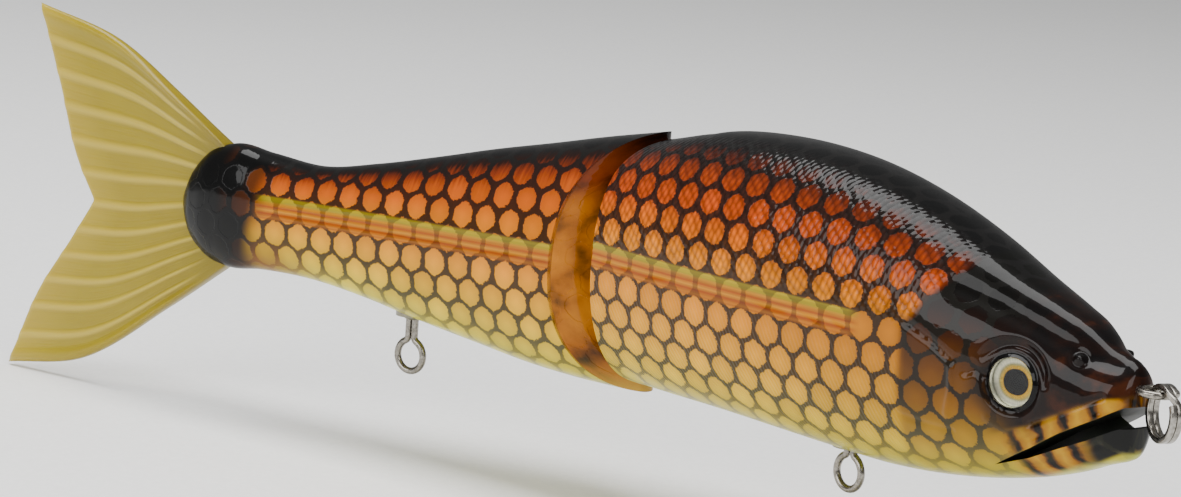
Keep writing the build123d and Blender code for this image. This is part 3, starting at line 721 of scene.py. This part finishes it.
REST_BEND = math.radians(15)
REAR_FORM = [
    (3, 13.6, 20.0, -21.4), (-9, 13.2, 17.5, -21.1), (-18, 11.9, 15.4, -20.5),
    (-30, 10.0, 12.7, -19.0), (-42, 8.3, 9.7, -17.4), (-54, 6.8, 6.9, -15.5),
    (-66, 5.7, 4.8, -14.3), (-77, 5.2, 5.5, -14.4), (-85, 4.9, 6.0, -15.0),
    (-90, 4.1, 3.8, -13.4), (-93, 2.9, 0.3, -10.6), (-94.4, 1.75, -2.4, -7.8),
]
NOSE_R = 2.8
BEVEL = (-9.5, 13.6)
AROUND_REAR = 260
REAR_ROWS = 190
BEVEL_ROWS = 36
FLAT_PART = 0.78
LATERAL_REAR = [(-95, -3.4), (-58.5, -2.3), (-31, -1.2), (-8.2, -0.3), (4, 0.3)]


def swing(points):
    """Swing straight rear-section points to the rest bend, still in mm."""
    c, s = math.cos(REST_BEND), math.sin(REST_BEND)
    turned = np.array([[c, s, 0], [-s, c, 0], [0, 0, 1]])
    return points @ turned + HINGE


lean = math.atan2(-BEVEL[0], BEVEL[1]) + math.asin(NOSE_R / math.hypot(*BEVEL))
touch = NOSE_R * np.array([math.cos(lean), math.sin(lean)])
slope = (BEVEL[1] - touch[1]) / (BEVEL[0] - touch[0])


def wedge_side(x):
    """How far out the nose and its bevel reach at each place."""
    nose = np.sqrt(np.clip(NOSE_R**2 - x**2, 0, None))
    return np.where(x > touch[0], nose, touch[1] + (x - touch[0]) * slope)


# where each lengthwise line of the flank meets the wedge
near_end = np.full(AROUND_REAR, -24.0)
far_end = np.full(AROUND_REAR, NOSE_R)
columns = np.arange(AROUND_REAR)
for _ in range(30):
    middle = (near_end + far_end) / 2
    tried = fish_form(REAR_FORM, middle[:, None], AROUND_REAR)[columns, columns]
    outside = np.abs(tried[:, 1]) > wedge_side(middle)
    far_end = np.where(outside, middle, far_end)
    near_end = np.where(outside, near_end, middle)
meets = near_end

cap_x = REAR_FORM[-1][0]
along = np.linspace(0, 1, REAR_ROWS)[:, None] ** 0.97
rear_x = cap_x + (meets[None] - cap_x) * (0.12 * along**2 + 0.88 * along)
flank = fish_form(REAR_FORM, rear_x.reshape(-1, 1), AROUND_REAR)
flank = flank.reshape(REAR_ROWS, AROUND_REAR, AROUND_REAR, 3)
flank = flank[:, columns, columns]
table_x = np.linspace(cap_x, 2.9, 160)
table_points = fish_form(REAR_FORM, table_x[:, None], AROUND_REAR)
line_height = np.interp(table_x, *np.array(LATERAL_REAR).T)
table_climb, table_share = walk_down(table_points, line_height)
rear_climb = np.stack([np.interp(rear_x[:, j], table_x, table_climb[:, j])
                       for j in columns], 1)
rear_share = np.stack([np.interp(rear_x[:, j], table_x, table_share[:, j])
                       for j in columns], 1)

# the bevel and nose, walked in plan at each height from the flank to the middle line
bevel_rings, bevel_net = [], []
edge = flank[-1]
for part in np.linspace(0, 1, BEVEL_ROWS + 1)[1:]:
    path_x = edge[:, 0] + (touch[0] - edge[:, 0]) * min(part / FLAT_PART, 1)
    on_nose = edge[:, 0] >= touch[0]
    sweep_from = np.where(on_nose, np.arccos(np.clip(edge[:, 0] / NOSE_R, -1, 1)), lean)
    turned_part = max((part - FLAT_PART) / (1 - FLAT_PART), 0)
    turn_now = sweep_from * (1 - np.where(on_nose, part, turned_part))
    rounding = on_nose | (part > FLAT_PART)
    path_x = np.where(rounding, NOSE_R * np.cos(turn_now), path_x)
    reach_out = np.where(rounding, NOSE_R * np.sin(turn_now), wedge_side(path_x))
    ring = np.stack([path_x, np.sign(edge[:, 1]) * np.abs(reach_out), edge[:, 2]], -1)
    bevel_rings.append(ring)
    bevel_net.append(np.stack([np.hypot(path_x - edge[:, 0], reach_out - np.abs(edge[:, 1]))
                               + 200, edge[:, 2]], -1))
bevel_rings = np.array(bevel_rings)

# three ribs of the lateral line, from the bevel to the tail base
rib_fade = 1 - step(-rear_x, 66, 72)
raised = sum(
    rib_fade * rib_height * np.exp(-(((rear_climb - centre) / 0.3) ** 2))
    for centre, rib_height in ((0.8, 0.12), (0.0, 0.16), (-0.8, 0.12))
)
raised *= step(meets[None] - rear_x, 0.0, 1.5)
flank += outward(flank) * raised[..., None]
cap_middle = flank[0].mean(0)
cap_rings = np.array([
    cap_middle + (flank[0] - cap_middle) * part - [push, 0, 0]
    for part, push in ((0.0, 0.75), (0.35, 0.68), (0.7, 0.42))
])
rear_all = np.concatenate([cap_rings, flank, bevel_rings])


def wrapped(values):
    """Repeat the first column after the last, where a sleeve closes."""
    return np.concatenate([values, values[:, :1]], 1)


flank_net = wrapped(np.stack([rear_x, rear_climb], -1))
flank_net = np.concatenate([flank_net[:1]] * 3 + [flank_net] + [wrapped(np.array(bevel_net))])
flank_place = wrapped(np.stack([rear_x, rear_share], -1))
flank_place = np.concatenate([flank_place[:1]] * 3 + [flank_place]
                             + [flank_place[-1:]] * BEVEL_ROWS)
on_bevel = np.zeros(rear_all.shape[:2])
on_bevel[-BEVEL_ROWS:] = 1.0
tail_base = step(-rear_all[..., 0] + 0.25 * (rear_all[..., 2] + 4), 72.5, 78.0)
rear_marks = {"bevel": on_bevel, "tail_base": tail_base}
rear_skin = sleeve("rear_section_skin", swing(rear_all),
                   {"net": flank_net, "place": flank_place}, rear_marks)
rear_coat = scale_coat("airbrushed_scale_coat_rear", BELLY_TO_BACK_REAR, -30, 47, rear_marks)
dress(rear_skin, rear_coat)

# a slot through the nose of the wedge for each hinge eye
slot_plastic, tree, shader = new_material("bare_amber_abs")
slot_at = add(tree, "TexCoord")
slot_cloud = add(tree, "TexNoise", {"Vector": slot_at.outputs["Object"], "Scale": 500.0})
slot_tint = add(tree, "ValToRGB", {"Fac": slot_cloud}, stops=[(0.3, "#4E3216"), (0.7, "#6B4519")])
tree.links.new(slot_tint.outputs[0], shader.inputs["Base Color"])
shader.inputs["Roughness"].default_value = 0.45
SLOT_HEIGHT = 2.0
SLOT_DEPTH = 2.5
for eye_name in ("hinge_eye_upper", "hinge_eye_lower"):
    low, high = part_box(eye_name)
    level = (low.z + high.z) / 2
    bpy.ops.object.select_all(action="DESELECT")
    bpy.ops.mesh.primitive_cylinder_add(vertices=64, radius=SLOT_DEPTH * MM,
                                        depth=SLOT_HEIGHT * MM)
    round_cutter = bpy.context.object
    bpy.ops.mesh.primitive_cube_add(size=1)
    mouth_of_slot = bpy.context.object
    mouth_of_slot.scale = (4 * MM, 3 * NOSE_R * MM, SLOT_HEIGHT * MM)
    mouth_of_slot.location = (2.02 * MM, 0, 0)
    for slot_cutter in (round_cutter, mouth_of_slot):
        slot_cutter.matrix_world = (
            Matrix.Translation((HINGE[0] * MM, 0, level)) @ Matrix.Rotation(REST_BEND, 4, "Z")
            @ slot_cutter.matrix_basis
        )
        bpy.ops.object.select_all(action="DESELECT")
        slot_cutter.select_set(True)
        bpy.context.view_layer.objects.active = slot_cutter
        bpy.ops.object.transform_apply(location=True, rotation=True, scale=True)
        dress(slot_cutter, slot_plastic)
        cut(rear_skin, slot_cutter)
bpy.ops.object.select_all(action="DESELECT")
rear_skin.select_set(True)
bpy.context.view_layer.objects.active = rear_skin
bpy.ops.object.shade_smooth_by_angle(angle=math.radians(40))
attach(rear_skin, "rear_section")
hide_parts("rear_shell_left", "rear_shell_right")

# ---------------------------------------------------------------------------
# Soft tail: a forked fin of translucent PVC, poured in one piece with fine rays fanning
# out to a thin trailing edge. Its root is a plug pinned in the cap of the rear section.

TAIL_ROOT_T = 3.0
TAIL_TIP_T = 1.15
RAYS = 12
TAIL_ROOT = [(-83.5, -14.2), (-82.2, -9.5), (-82.4, 1.0), (-86.5, 5.8)]
TAIL_TOP = [(-86.5, 5.8), (-98, 12.6), (-112, 20.3), (-131, 24.6)]
TAIL_LOW = [(-83.5, -14.2), (-98, -24.4), (-118, -36.8), (-135, -40.2)]
TAIL_REAR = [
    (-135, -40.2), (-128.3, -25.8), (-121.4, -16), (-116.2, -8.3), (-120.6, -1.5),
    (-125.4, 10.9), (-131, 24.6),
]
TAIL_NOTCH = 3
EDGE_PART = 0.022


def through(points, at, corner=None):
    """A smooth curve through points, with a corner left sharp if asked."""
    points = np.array(points, float)
    if corner is not None:
        reach = np.linalg.norm(np.diff(points, axis=0), axis=1).cumsum()
        turn_at = reach[corner - 1] / reach[-1]
        first = through(points[: corner + 1], np.clip(at / turn_at, 0, 1))
        second = through(points[corner:], np.clip((at - turn_at) / (1 - turn_at), 0, 1))
        return np.where((at <= turn_at)[:, None], first, second)
    walk = np.concatenate([[0], np.linalg.norm(np.diff(points, axis=0), axis=1).cumsum()])
    walk /= walk[-1]
    return np.stack([smooth_curve(walk, points[:, i], at) for i in (0, 1)], -1)


TAIL_ALONG, TAIL_ACROSS = 150, 210
out = np.linspace(0, 1, TAIL_ALONG)
rise = (1 - np.cos(np.linspace(0, math.pi, TAIL_ACROSS))) / 2 * 0.5 + np.linspace(
    0, 1, TAIL_ACROSS) * 0.5
root, rear = through(TAIL_ROOT, rise), through(TAIL_REAR, rise, TAIL_NOTCH)
low, top = through(TAIL_LOW, out), through(TAIL_TOP, out)
s, t = out[:, None, None], rise[None, :, None]
patch = (
    (1 - s) * root[None] + s * rear[None] + (1 - t) * low[:, None] + t * top[:, None]
    - (1 - s) * (1 - t) * root[0] - (1 - s) * t * root[-1]
    - s * (1 - t) * rear[0] - s * t * rear[-1]
)
s, t = out[:, None], rise[None]
edge_round = np.sqrt(1 - (1 - np.clip(np.minimum(t, 1 - t) / EDGE_PART, 0, 1)) ** 2)
thick_bead = 0.30 * np.exp(-(((np.minimum(t, 1 - t) - EDGE_PART) / 0.02) ** 2)) * step(s, 0.1, 0.3)
end_round = np.sqrt(1 - (1 - np.clip((1 - s) / 0.02, 0, 1)) ** 2)
half_t = (TAIL_ROOT_T + (TAIL_TIP_T - TAIL_ROOT_T) * s**0.85) / 2
ray = np.cos(math.pi * RAYS * (t - 0.5)) ** 2
ray = np.clip((ray - 0.72) / 0.28, 0, 1) * step(s, 0.12, 0.3)
ray *= step(np.minimum(t, 1 - t), 0.03, 0.06)
half_t = (half_t + 0.16 * ray + thick_bead) * edge_round * end_round
right_side = np.stack([patch[..., 0], -half_t, patch[..., 1]], -1)
left_side = np.stack([patch[..., 0], half_t, patch[..., 1]], -1)[:, ::-1]
tail_points = np.concatenate([right_side, left_side[:, 1:-1]], 1)
front_ring = tail_points[0] * [1, 0, 1]
tail_points = np.concatenate([front_ring[None], tail_points])
both = np.concatenate([np.arange(TAIL_ACROSS), np.arange(TAIL_ACROSS - 2, 0, -1)])
fan = np.stack(np.broadcast_arrays(s, t), -1)[:, both]
fan = wrapped(np.concatenate([fan[:1], fan]))
ray_mark = ray[:, both]
tail = sleeve("soft_forked_tail", swing(tail_points), {"fan": fan},
              {"ray": np.concatenate([ray_mark[:1], ray_mark])})

# Plastisol PVC, poured: milky olive gold that lets light through, softly glossy
soft_pvc, tree, shader = new_material("poured_olive_pvc")
fan_uv = add(tree, "UVMap", uv_map="fan")
fan_at = add(tree, "SeparateXYZ", {0: fan_uv})
ray_fac = add(tree, "Attribute", attribute_name="ray").outputs["Fac"]
tail_at = add(tree, "TexCoord")
milk = add(tree, "TexNoise", {"Vector": tail_at.outputs["Object"], "Scale": 90.0, "Detail": 3.0})
grain_uv = add(tree, "Mapping", {"Vector": fan_uv, "Scale": (3.0, 110.0, 1)})
grain = add(tree, "TexNoise", {"Vector": grain_uv, "Scale": 1.0, "Detail": 2.0})
olive = add(tree, "ValToRGB", {"Fac": milk}, stops=[(0.3, "#827004"), (0.7, "#908004")])
trailing = add(
    tree, "ValToRGB", {"Fac": fan_at.outputs[0]}, stops=[
        (0.0, "#665604"), (0.35, "#887604"), (0.8, "#948206"), (0.97, "#AC9626"),
        (1.0, "#BCA848"),
    ],
)
tinted = add(tree, "Mix", {0: 0.6, 6: olive, 7: trailing}, data_type="RGBA").outputs[2]
pale = add(tree, "Math", {0: ray_fac, 1: 0.75}, operation="MULTIPLY")
rayed = add(tree, "Mix", {0: pale, 6: tinted, 7: paint("#B8A23C")}, data_type="RGBA")
tree.links.new(rayed.outputs[2], shader.inputs["Base Color"])
ripple = add(tree, "Bump", {"Height": grain, "Distance": 0.00012, "Strength": 0.6})
tree.links.new(ripple.outputs[0], shader.inputs["Normal"])
shader.inputs["Roughness"].default_value = 0.3
shader.inputs["IOR"].default_value = 1.53
shader.inputs["Subsurface Weight"].default_value = 0.35
shader.inputs["Subsurface Radius"].default_value = (0.004, 0.003, 0.0012)
shader.inputs["Subsurface Scale"].default_value = 1.0
shader.inputs["Specular IOR Level"].default_value = 0.3
shader.inputs["Coat Weight"].default_value = 0.1
shader.inputs["Coat Roughness"].default_value = 0.12
dress(tail, soft_pvc)
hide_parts("tail_root", "tail_blade")
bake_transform(tail)

# ---------------------------------------------------------------------------
# Hook hangers: stainless wire bent to a teardrop, with both legs let into a swivelling stud in the
# belly.

WIRE_R = 0.57
LOOP_R = 2.6
LEG_APART = 0.62
BEND_R = 0.95
WIRE_ROUND = 20


def wire(name, centreline, sideways, wire_r):
    """A round wire along a flat centreline: sideways is the normal of its plane."""
    centreline = np.array(centreline)
    ahead = np.gradient(centreline, axis=0)
    ahead /= np.linalg.norm(ahead, axis=1, keepdims=True)
    sideways = np.broadcast_to(sideways, centreline.shape)
    out_of_bend = np.cross(ahead, sideways)
    turns = np.linspace(0, 2 * math.pi, WIRE_ROUND, endpoint=False)
    rings = (
        centreline[:, None]
        + wire_r * (np.cos(turns)[None, :, None] * out_of_bend[:, None]
                    + np.sin(turns)[None, :, None] * sideways[:, None])
    )
    first = np.repeat(centreline[:1][None], WIRE_ROUND, 1)
    last = np.repeat(centreline[-1:][None], WIRE_ROUND, 1)
    return sleeve(name, np.concatenate([first, rings, last]))


def arc(centre, radius, start, end, count):
    """Points of an arc in a plane, angles in degrees."""
    angles = np.radians(np.linspace(start, end, count))
    return np.stack([centre[0] + radius * np.cos(angles), centre[1] + radius * np.sin(angles)], 1)


stainless, tree, shader = new_material("drawn_stainless_wire")
wire_at = add(tree, "TexCoord")
drawn = add(tree, "TexNoise", {"Vector": wire_at.outputs["Object"], "Scale": 2600.0,
                               "Detail": 2.0})
steel_tint = add(tree, "ValToRGB", {"Fac": drawn}, stops=[(0.3, "#6E6A62"), (0.7, "#98938A")])
steel_rough = add(tree, "MapRange", {"Value": drawn, "To Min": 0.16, "To Max": 0.34})
tree.links.new(steel_tint.outputs[0], shader.inputs["Base Color"])
tree.links.new(steel_rough.outputs[0], shader.inputs["Roughness"])
drawn_bump = add(tree, "Bump", {"Height": drawn, "Distance": 0.00001, "Strength": 0.6})
tree.links.new(drawn_bump.outputs[0], shader.inputs["Normal"])
shader.inputs["Metallic"].default_value = 1.0

bend_y = math.sqrt((LOOP_R + BEND_R) ** 2 - (LEG_APART + BEND_R) ** 2)
bend_end = math.degrees(math.atan2(-bend_y, -(LEG_APART + BEND_R))) + 360
round_start = math.degrees(math.atan2(bend_y, LEG_APART + BEND_R))
HANGERS = (("front_hanger_loop", "front_hanger", 0.0, 4.4),
           ("rear_hanger_loop", "rear_hanger", REST_BEND, 7.3))
for node, body_name, bend, leg_top in HANGERS:
    low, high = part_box(node)
    hub = (low + high) / 2
    hub.z = low.z + (LOOP_R + WIRE_R) * MM
    leg = np.array([[LEG_APART, h] for h in np.linspace(leg_top, bend_y, 8)[:-1]])
    shoulder = arc((LEG_APART + BEND_R, bend_y), BEND_R, 180, bend_end, 14)
    bottom = arc((0, 0), LOOP_R, round_start, -90, 44)
    half_path = np.concatenate([leg, shoulder, bottom[1:]])
    path = np.concatenate([half_path, (half_path * [-1, 1])[::-1][1:]])
    c, s = math.cos(bend), math.sin(bend)
    placed = np.stack([path[:, 0] * c, path[:, 0] * s, path[:, 1]], 1) + np.array(hub) / MM
    loop = wire(node + "_wire", placed, np.array([-s, c, 0]), WIRE_R)
    dress(loop, stainless)
    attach(loop, body_name)
    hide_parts(node)

# ---------------------------------------------------------------------------
# Split ring: flat nickelled spring strip wound twice, so the coils lie side by side and
# step across each other beside the two cut ends. It hangs in the line tie.

COIL_OUT_R = 4.1
COIL_T = 0.88
COIL_W = 0.86
COIL_STEP = 0.46
STRIP_ROUND = 24
STRIP_CORNER = 0.35
low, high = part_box("split_ring")
ring_hub = np.array((low + high) / 2) / MM
RING_TURN = math.radians(-22)
hang = np.array([math.cos(RING_TURN), math.sin(RING_TURN), 0])
axle = np.cross(hang, [0, 0, 1])
coil_turn = np.radians(np.linspace(12, 708, 232))
coil_side = COIL_STEP * (2 * step(coil_turn, math.radians(338), math.radians(382)) - 1)
coil_r = COIL_OUT_R - COIL_T / 2
start_angle = math.radians(40)
radial = (np.cos(coil_turn + start_angle)[:, None] * hang
          + np.sin(coil_turn + start_angle)[:, None] * np.array([0, 0, 1]))
corner_turn = np.linspace(0, 2 * math.pi, STRIP_ROUND, endpoint=False)
strip_out, strip_side = (
    size / 2 * np.sign(way) * np.abs(way) ** STRIP_CORNER
    for size, way in ((COIL_T, np.cos(corner_turn)), (COIL_W, np.sin(corner_turn)))
)
coil = (
    ring_hub
    + (coil_r + strip_out)[None, :, None] * radial[:, None]
    + (coil_side[:, None] + strip_side[None])[..., None] * axle
)
cut_ends = [end.mean(1, keepdims=True).repeat(STRIP_ROUND, 1) for end in (coil[:1], coil[-1:])]
ring = sleeve("split_ring_coils", np.concatenate([cut_ends[0], coil, cut_ends[1]]))
nickel, tree, shader = new_material("nickelled_spring_steel")
nickel_at = add(tree, "TexCoord")
scuff = add(tree, "TexNoise", {"Vector": nickel_at.outputs["Object"], "Scale": 1500.0,
                               "Detail": 4.0})
nickel_tint = add(tree, "ValToRGB", {"Fac": scuff}, stops=[(0.3, "#76726B"), (0.65, "#A5A199")])
nickel_rough = add(tree, "MapRange", {"Value": scuff, "To Min": 0.12, "To Max": 0.3})
tree.links.new(nickel_tint.outputs[0], shader.inputs["Base Color"])
tree.links.new(nickel_rough.outputs[0], shader.inputs["Roughness"])
shader.inputs["Metallic"].default_value = 1.0
dress(ring, nickel)
bpy.ops.object.shade_smooth_by_angle(angle=math.radians(50))
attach(ring, "split_ring")
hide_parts("split_ring")

# ---------------------------------------------------------------------------
# Line tie, hinge eyes and hinge pin stay as the frame has them: plain stainless wire.

for node in ("line_tie", "hinge_eye_upper", "hinge_eye_lower", "hinge_pin"):
    dress(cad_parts[node], stainless)

# Bushings: turned brass glued into the belly.
brass, tree, shader = new_material("lacquered_turned_brass")
brass_at = add(tree, "TexCoord")
turned = add(tree, "TexNoise", {"Vector": brass_at.outputs["Object"], "Scale": 1800.0})
brass_tint = add(tree, "ValToRGB", {"Fac": turned}, stops=[(0.3, "#6E6A58"), (0.7, "#8D8872")])
tree.links.new(brass_tint.outputs[0], shader.inputs["Base Color"])
shader.inputs["Metallic"].default_value = 0.8
shader.inputs["Roughness"].default_value = 0.38
shader.inputs["Coat Weight"].default_value = 0.5
for node in ("front_hanger_bushing", "rear_hanger_bushing"):
    dress(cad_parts[node], brass)

# Ballast: cast lead slugs, dull grey with a crystalline skin, sealed in the shells
lead, tree, shader = new_material("cast_lead")
lead_at = add(tree, "TexCoord")
crystal = add(tree, "TexVoronoi", {"Vector": lead_at.outputs["Object"], "Scale": 700.0})
lead_tint = add(
    tree, "ValToRGB", {"Fac": crystal.outputs["Distance"]},
    stops=[(0.0, "#5C5E62"), (0.8, "#7A7C80")],
)
tree.links.new(lead_tint.outputs[0], shader.inputs["Base Color"])
shader.inputs["Metallic"].default_value = 1.0
shader.inputs["Roughness"].default_value = 0.6
for node in ("front_weight_forward", "front_weight_aft", "rear_weight"):
    dress(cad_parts[node], lead)

# Tail pin: a short nylon rod across the plug
nylon, tree, shader = new_material("extruded_nylon_rod")
nylon_at = add(tree, "TexCoord")
haze = add(tree, "TexNoise", {"Vector": nylon_at.outputs["Object"], "Scale": 1200.0})
nylon_tint = add(tree, "ValToRGB", {"Fac": haze}, stops=[(0.3, "#C9C3AE"), (0.7, "#DAD5C4")])
tree.links.new(nylon_tint.outputs[0], shader.inputs["Base Color"])
shader.inputs["Roughness"].default_value = 0.4
dress(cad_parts["tail_pin"], nylon)

# ---------------------------------------------------------------------------
# Eyes: a printed foil disc under a clear cast acrylic dome. The foil is silver gold with
# fine radial grain, a bright inner ring and a black drop-shaped pupil.

EYE_R = 3.5
for node, side in (("eye_iris_left", 1), ("eye_iris_right", -1)):
    low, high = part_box(node)
    middle = (low + high) / 2
    foil, tree, shader = new_material("printed_gold_foil_" + node[-5:].strip("_"))
    foil_at = add(tree, "TexCoord")
    centred = add(tree, "VectorMath", {0: foil_at.outputs["Object"], 1: tuple(middle)},
                  operation="SUBTRACT")
    turned_to = add(tree, "VectorRotate", {"Vector": centred, "Angle": side * EYE_TURN},
                    rotation_type="Z_AXIS")
    disc = add(tree, "VectorMath", {0: turned_to, 1: (1000 / EYE_R, 0, 1000 / EYE_R)},
               operation="MULTIPLY")
    disc_at = add(tree, "SeparateXYZ", {0: disc})
    out_from = add(tree, "VectorMath", {0: disc}, operation="LENGTH").outputs["Value"]
    spin = add(tree, "Math", {0: disc_at.outputs[2], 1: disc_at.outputs[0]}, operation="ARCTAN2")
    grain_at = add(tree, "CombineXYZ", {0: add(tree, "Math", {0: spin, 1: 9.0},
                                               operation="MULTIPLY"), 1: out_from})
    grain = add(tree, "TexNoise", {"Vector": grain_at, "Scale": 2.5, "Detail": 4.0})
    # the pupil is a disc drawn out towards the nose
    ahead = add(tree, "Math", {0: disc_at.outputs[0], 1: 0.0}, operation="MAXIMUM")
    drawn_in = add(tree, "Math", {0: ahead, 1: 0.22}, operation="MULTIPLY")
    pupil_out = add(tree, "Math", {0: out_from, 1: drawn_in}, operation="SUBTRACT")
    rings_tint = add(
        tree, "ValToRGB", {"Fac": pupil_out}, stops=[
            (0.0, "#020202"), (0.47, "#030303"), (0.5, "#2A1C05"), (0.53, "#C89A28"),
            (0.62, "#C4A030"), (0.69, "#98905A"), (0.8, "#E2DFC4"), (0.9, "#D2D0B4"),
            (0.97, "#98987C"), (1.0, "#3A3A2C"),
        ],
    )
    rings_tint = add(tree, "HueSaturation", {"Color": rings_tint, "Value": add(
        tree, "MapRange", {"Value": grain, "From Min": 0.3, "From Max": 0.7, "To Min": 0.75,
                           "To Max": 1.25})})
    shine = add(tree, "MapRange", {"Value": pupil_out, "From Min": 0.48, "From Max": 0.53})
    tree.links.new(rings_tint.outputs[0], shader.inputs["Base Color"])
    tree.links.new(shine.outputs[0], shader.inputs["Metallic"])
    shader.inputs["Roughness"].default_value = 0.3
    shader.inputs["Specular IOR Level"].default_value = 0.05
    dress(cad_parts[node], foil)

acrylic, tree, shader = new_material("cast_acrylic_dome")
dome_at = add(tree, "TexCoord")
faint = add(tree, "TexNoise", {"Vector": dome_at.outputs["Object"], "Scale": 300.0})
clear = add(tree, "ValToRGB", {"Fac": faint}, stops=[(0.3, "#FBFBF7"), (0.7, "#FFFFFF")])
tree.links.new(clear.outputs[0], shader.inputs["Base Color"])
shader.inputs["Roughness"].default_value = 0.02
shader.inputs["IOR"].default_value = 1.36
shader.inputs["Specular IOR Level"].default_value = 0.12
shader.inputs["Transmission Weight"].default_value = 1.0
for node in ("eye_lens_left", "eye_lens_right"):
    dress(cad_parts[node], acrylic)

# ---------------------------------------------------------------------------
# Studio: a pale floor that runs up behind, broad soft lights and a plain bright sky.

body_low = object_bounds()[0]
bpy.ops.object.select_all(action="DESELECT")
bpy.ops.mesh.primitive_plane_add(size=6, location=(-0.1, 0, body_low.z - 0.0004))
floor = bpy.context.object
floor.name = "floor"
bpy.ops.object.transform_apply(location=True, rotation=True, scale=True)
floor_white, tree, shader = new_material("matt_white_paper")
paper_at = add(tree, "TexCoord")
paper_grain = add(tree, "TexNoise", {"Vector": paper_at.outputs["Object"], "Scale": 900.0})
paper_tint = add(
    tree, "ValToRGB", {"Fac": paper_grain}, stops=[(0.3, "#F4F4F3"), (0.7, "#F9F9F8")],
)
tree.links.new(paper_tint.outputs[0], shader.inputs["Base Color"])
shader.inputs["Roughness"].default_value = 0.9
shader.inputs["Specular IOR Level"].default_value = 0.05
dress(floor, floor_white)

world = bpy.data.worlds.new("studio_white")
bpy.context.scene.world = world
world.use_nodes = True
sky = world.node_tree.nodes["Background"]
sky.inputs["Color"].default_value = (1, 1, 1, 1)
sky.inputs["Strength"].default_value = 0.30

CAMERA_PLACE = Vector((0.3420, -0.3888, 0.0999))
middle = Vector((HINGE[0] * MM, 0, 0))


def soft_box(name, place, size, power, aim):
    """A square area light that faces a point."""
    bpy.ops.object.light_add(type="AREA", location=place)
    lamp = bpy.context.object
    lamp.name = name
    lamp.data.shape = "RECTANGLE"
    lamp.data.size, lamp.data.size_y = size
    lamp.data.energy = power
    lamp.rotation_euler = (Vector(aim) - Vector(place)).to_track_quat("-Z", "Y").to_euler()


soft_box("overhead_softbox", (-0.1, -0.05, 0.75), (1.1, 0.4), 11.0, middle)
soft_box("front_softbox", (-0.15, -0.9, 0.35), (0.9, 0.5), 7.0, middle)
soft_box("nose_softbox", (0.75, -0.25, 0.4), (0.4, 0.4), 2.5, (0, 0, 0))

# Camera: a long lens level with the back, turned a few degrees about its own axis.
SENSOR = 36.0
LENS = 117.36
RIGHT = Vector((0.6324, 0.7715, 0.0688))
UP = Vector((-0.1709, 0.0524, 0.9839))
bpy.ops.object.camera_add(location=CAMERA_PLACE)
camera = bpy.context.object
axes = Matrix((RIGHT, UP, RIGHT.cross(UP))).transposed()
camera.rotation_euler = axes.to_euler()
camera.data.lens = LENS
camera.data.sensor_width = SENSOR
camera.data.clip_start = 0.01
bpy.context.scene.camera = camera
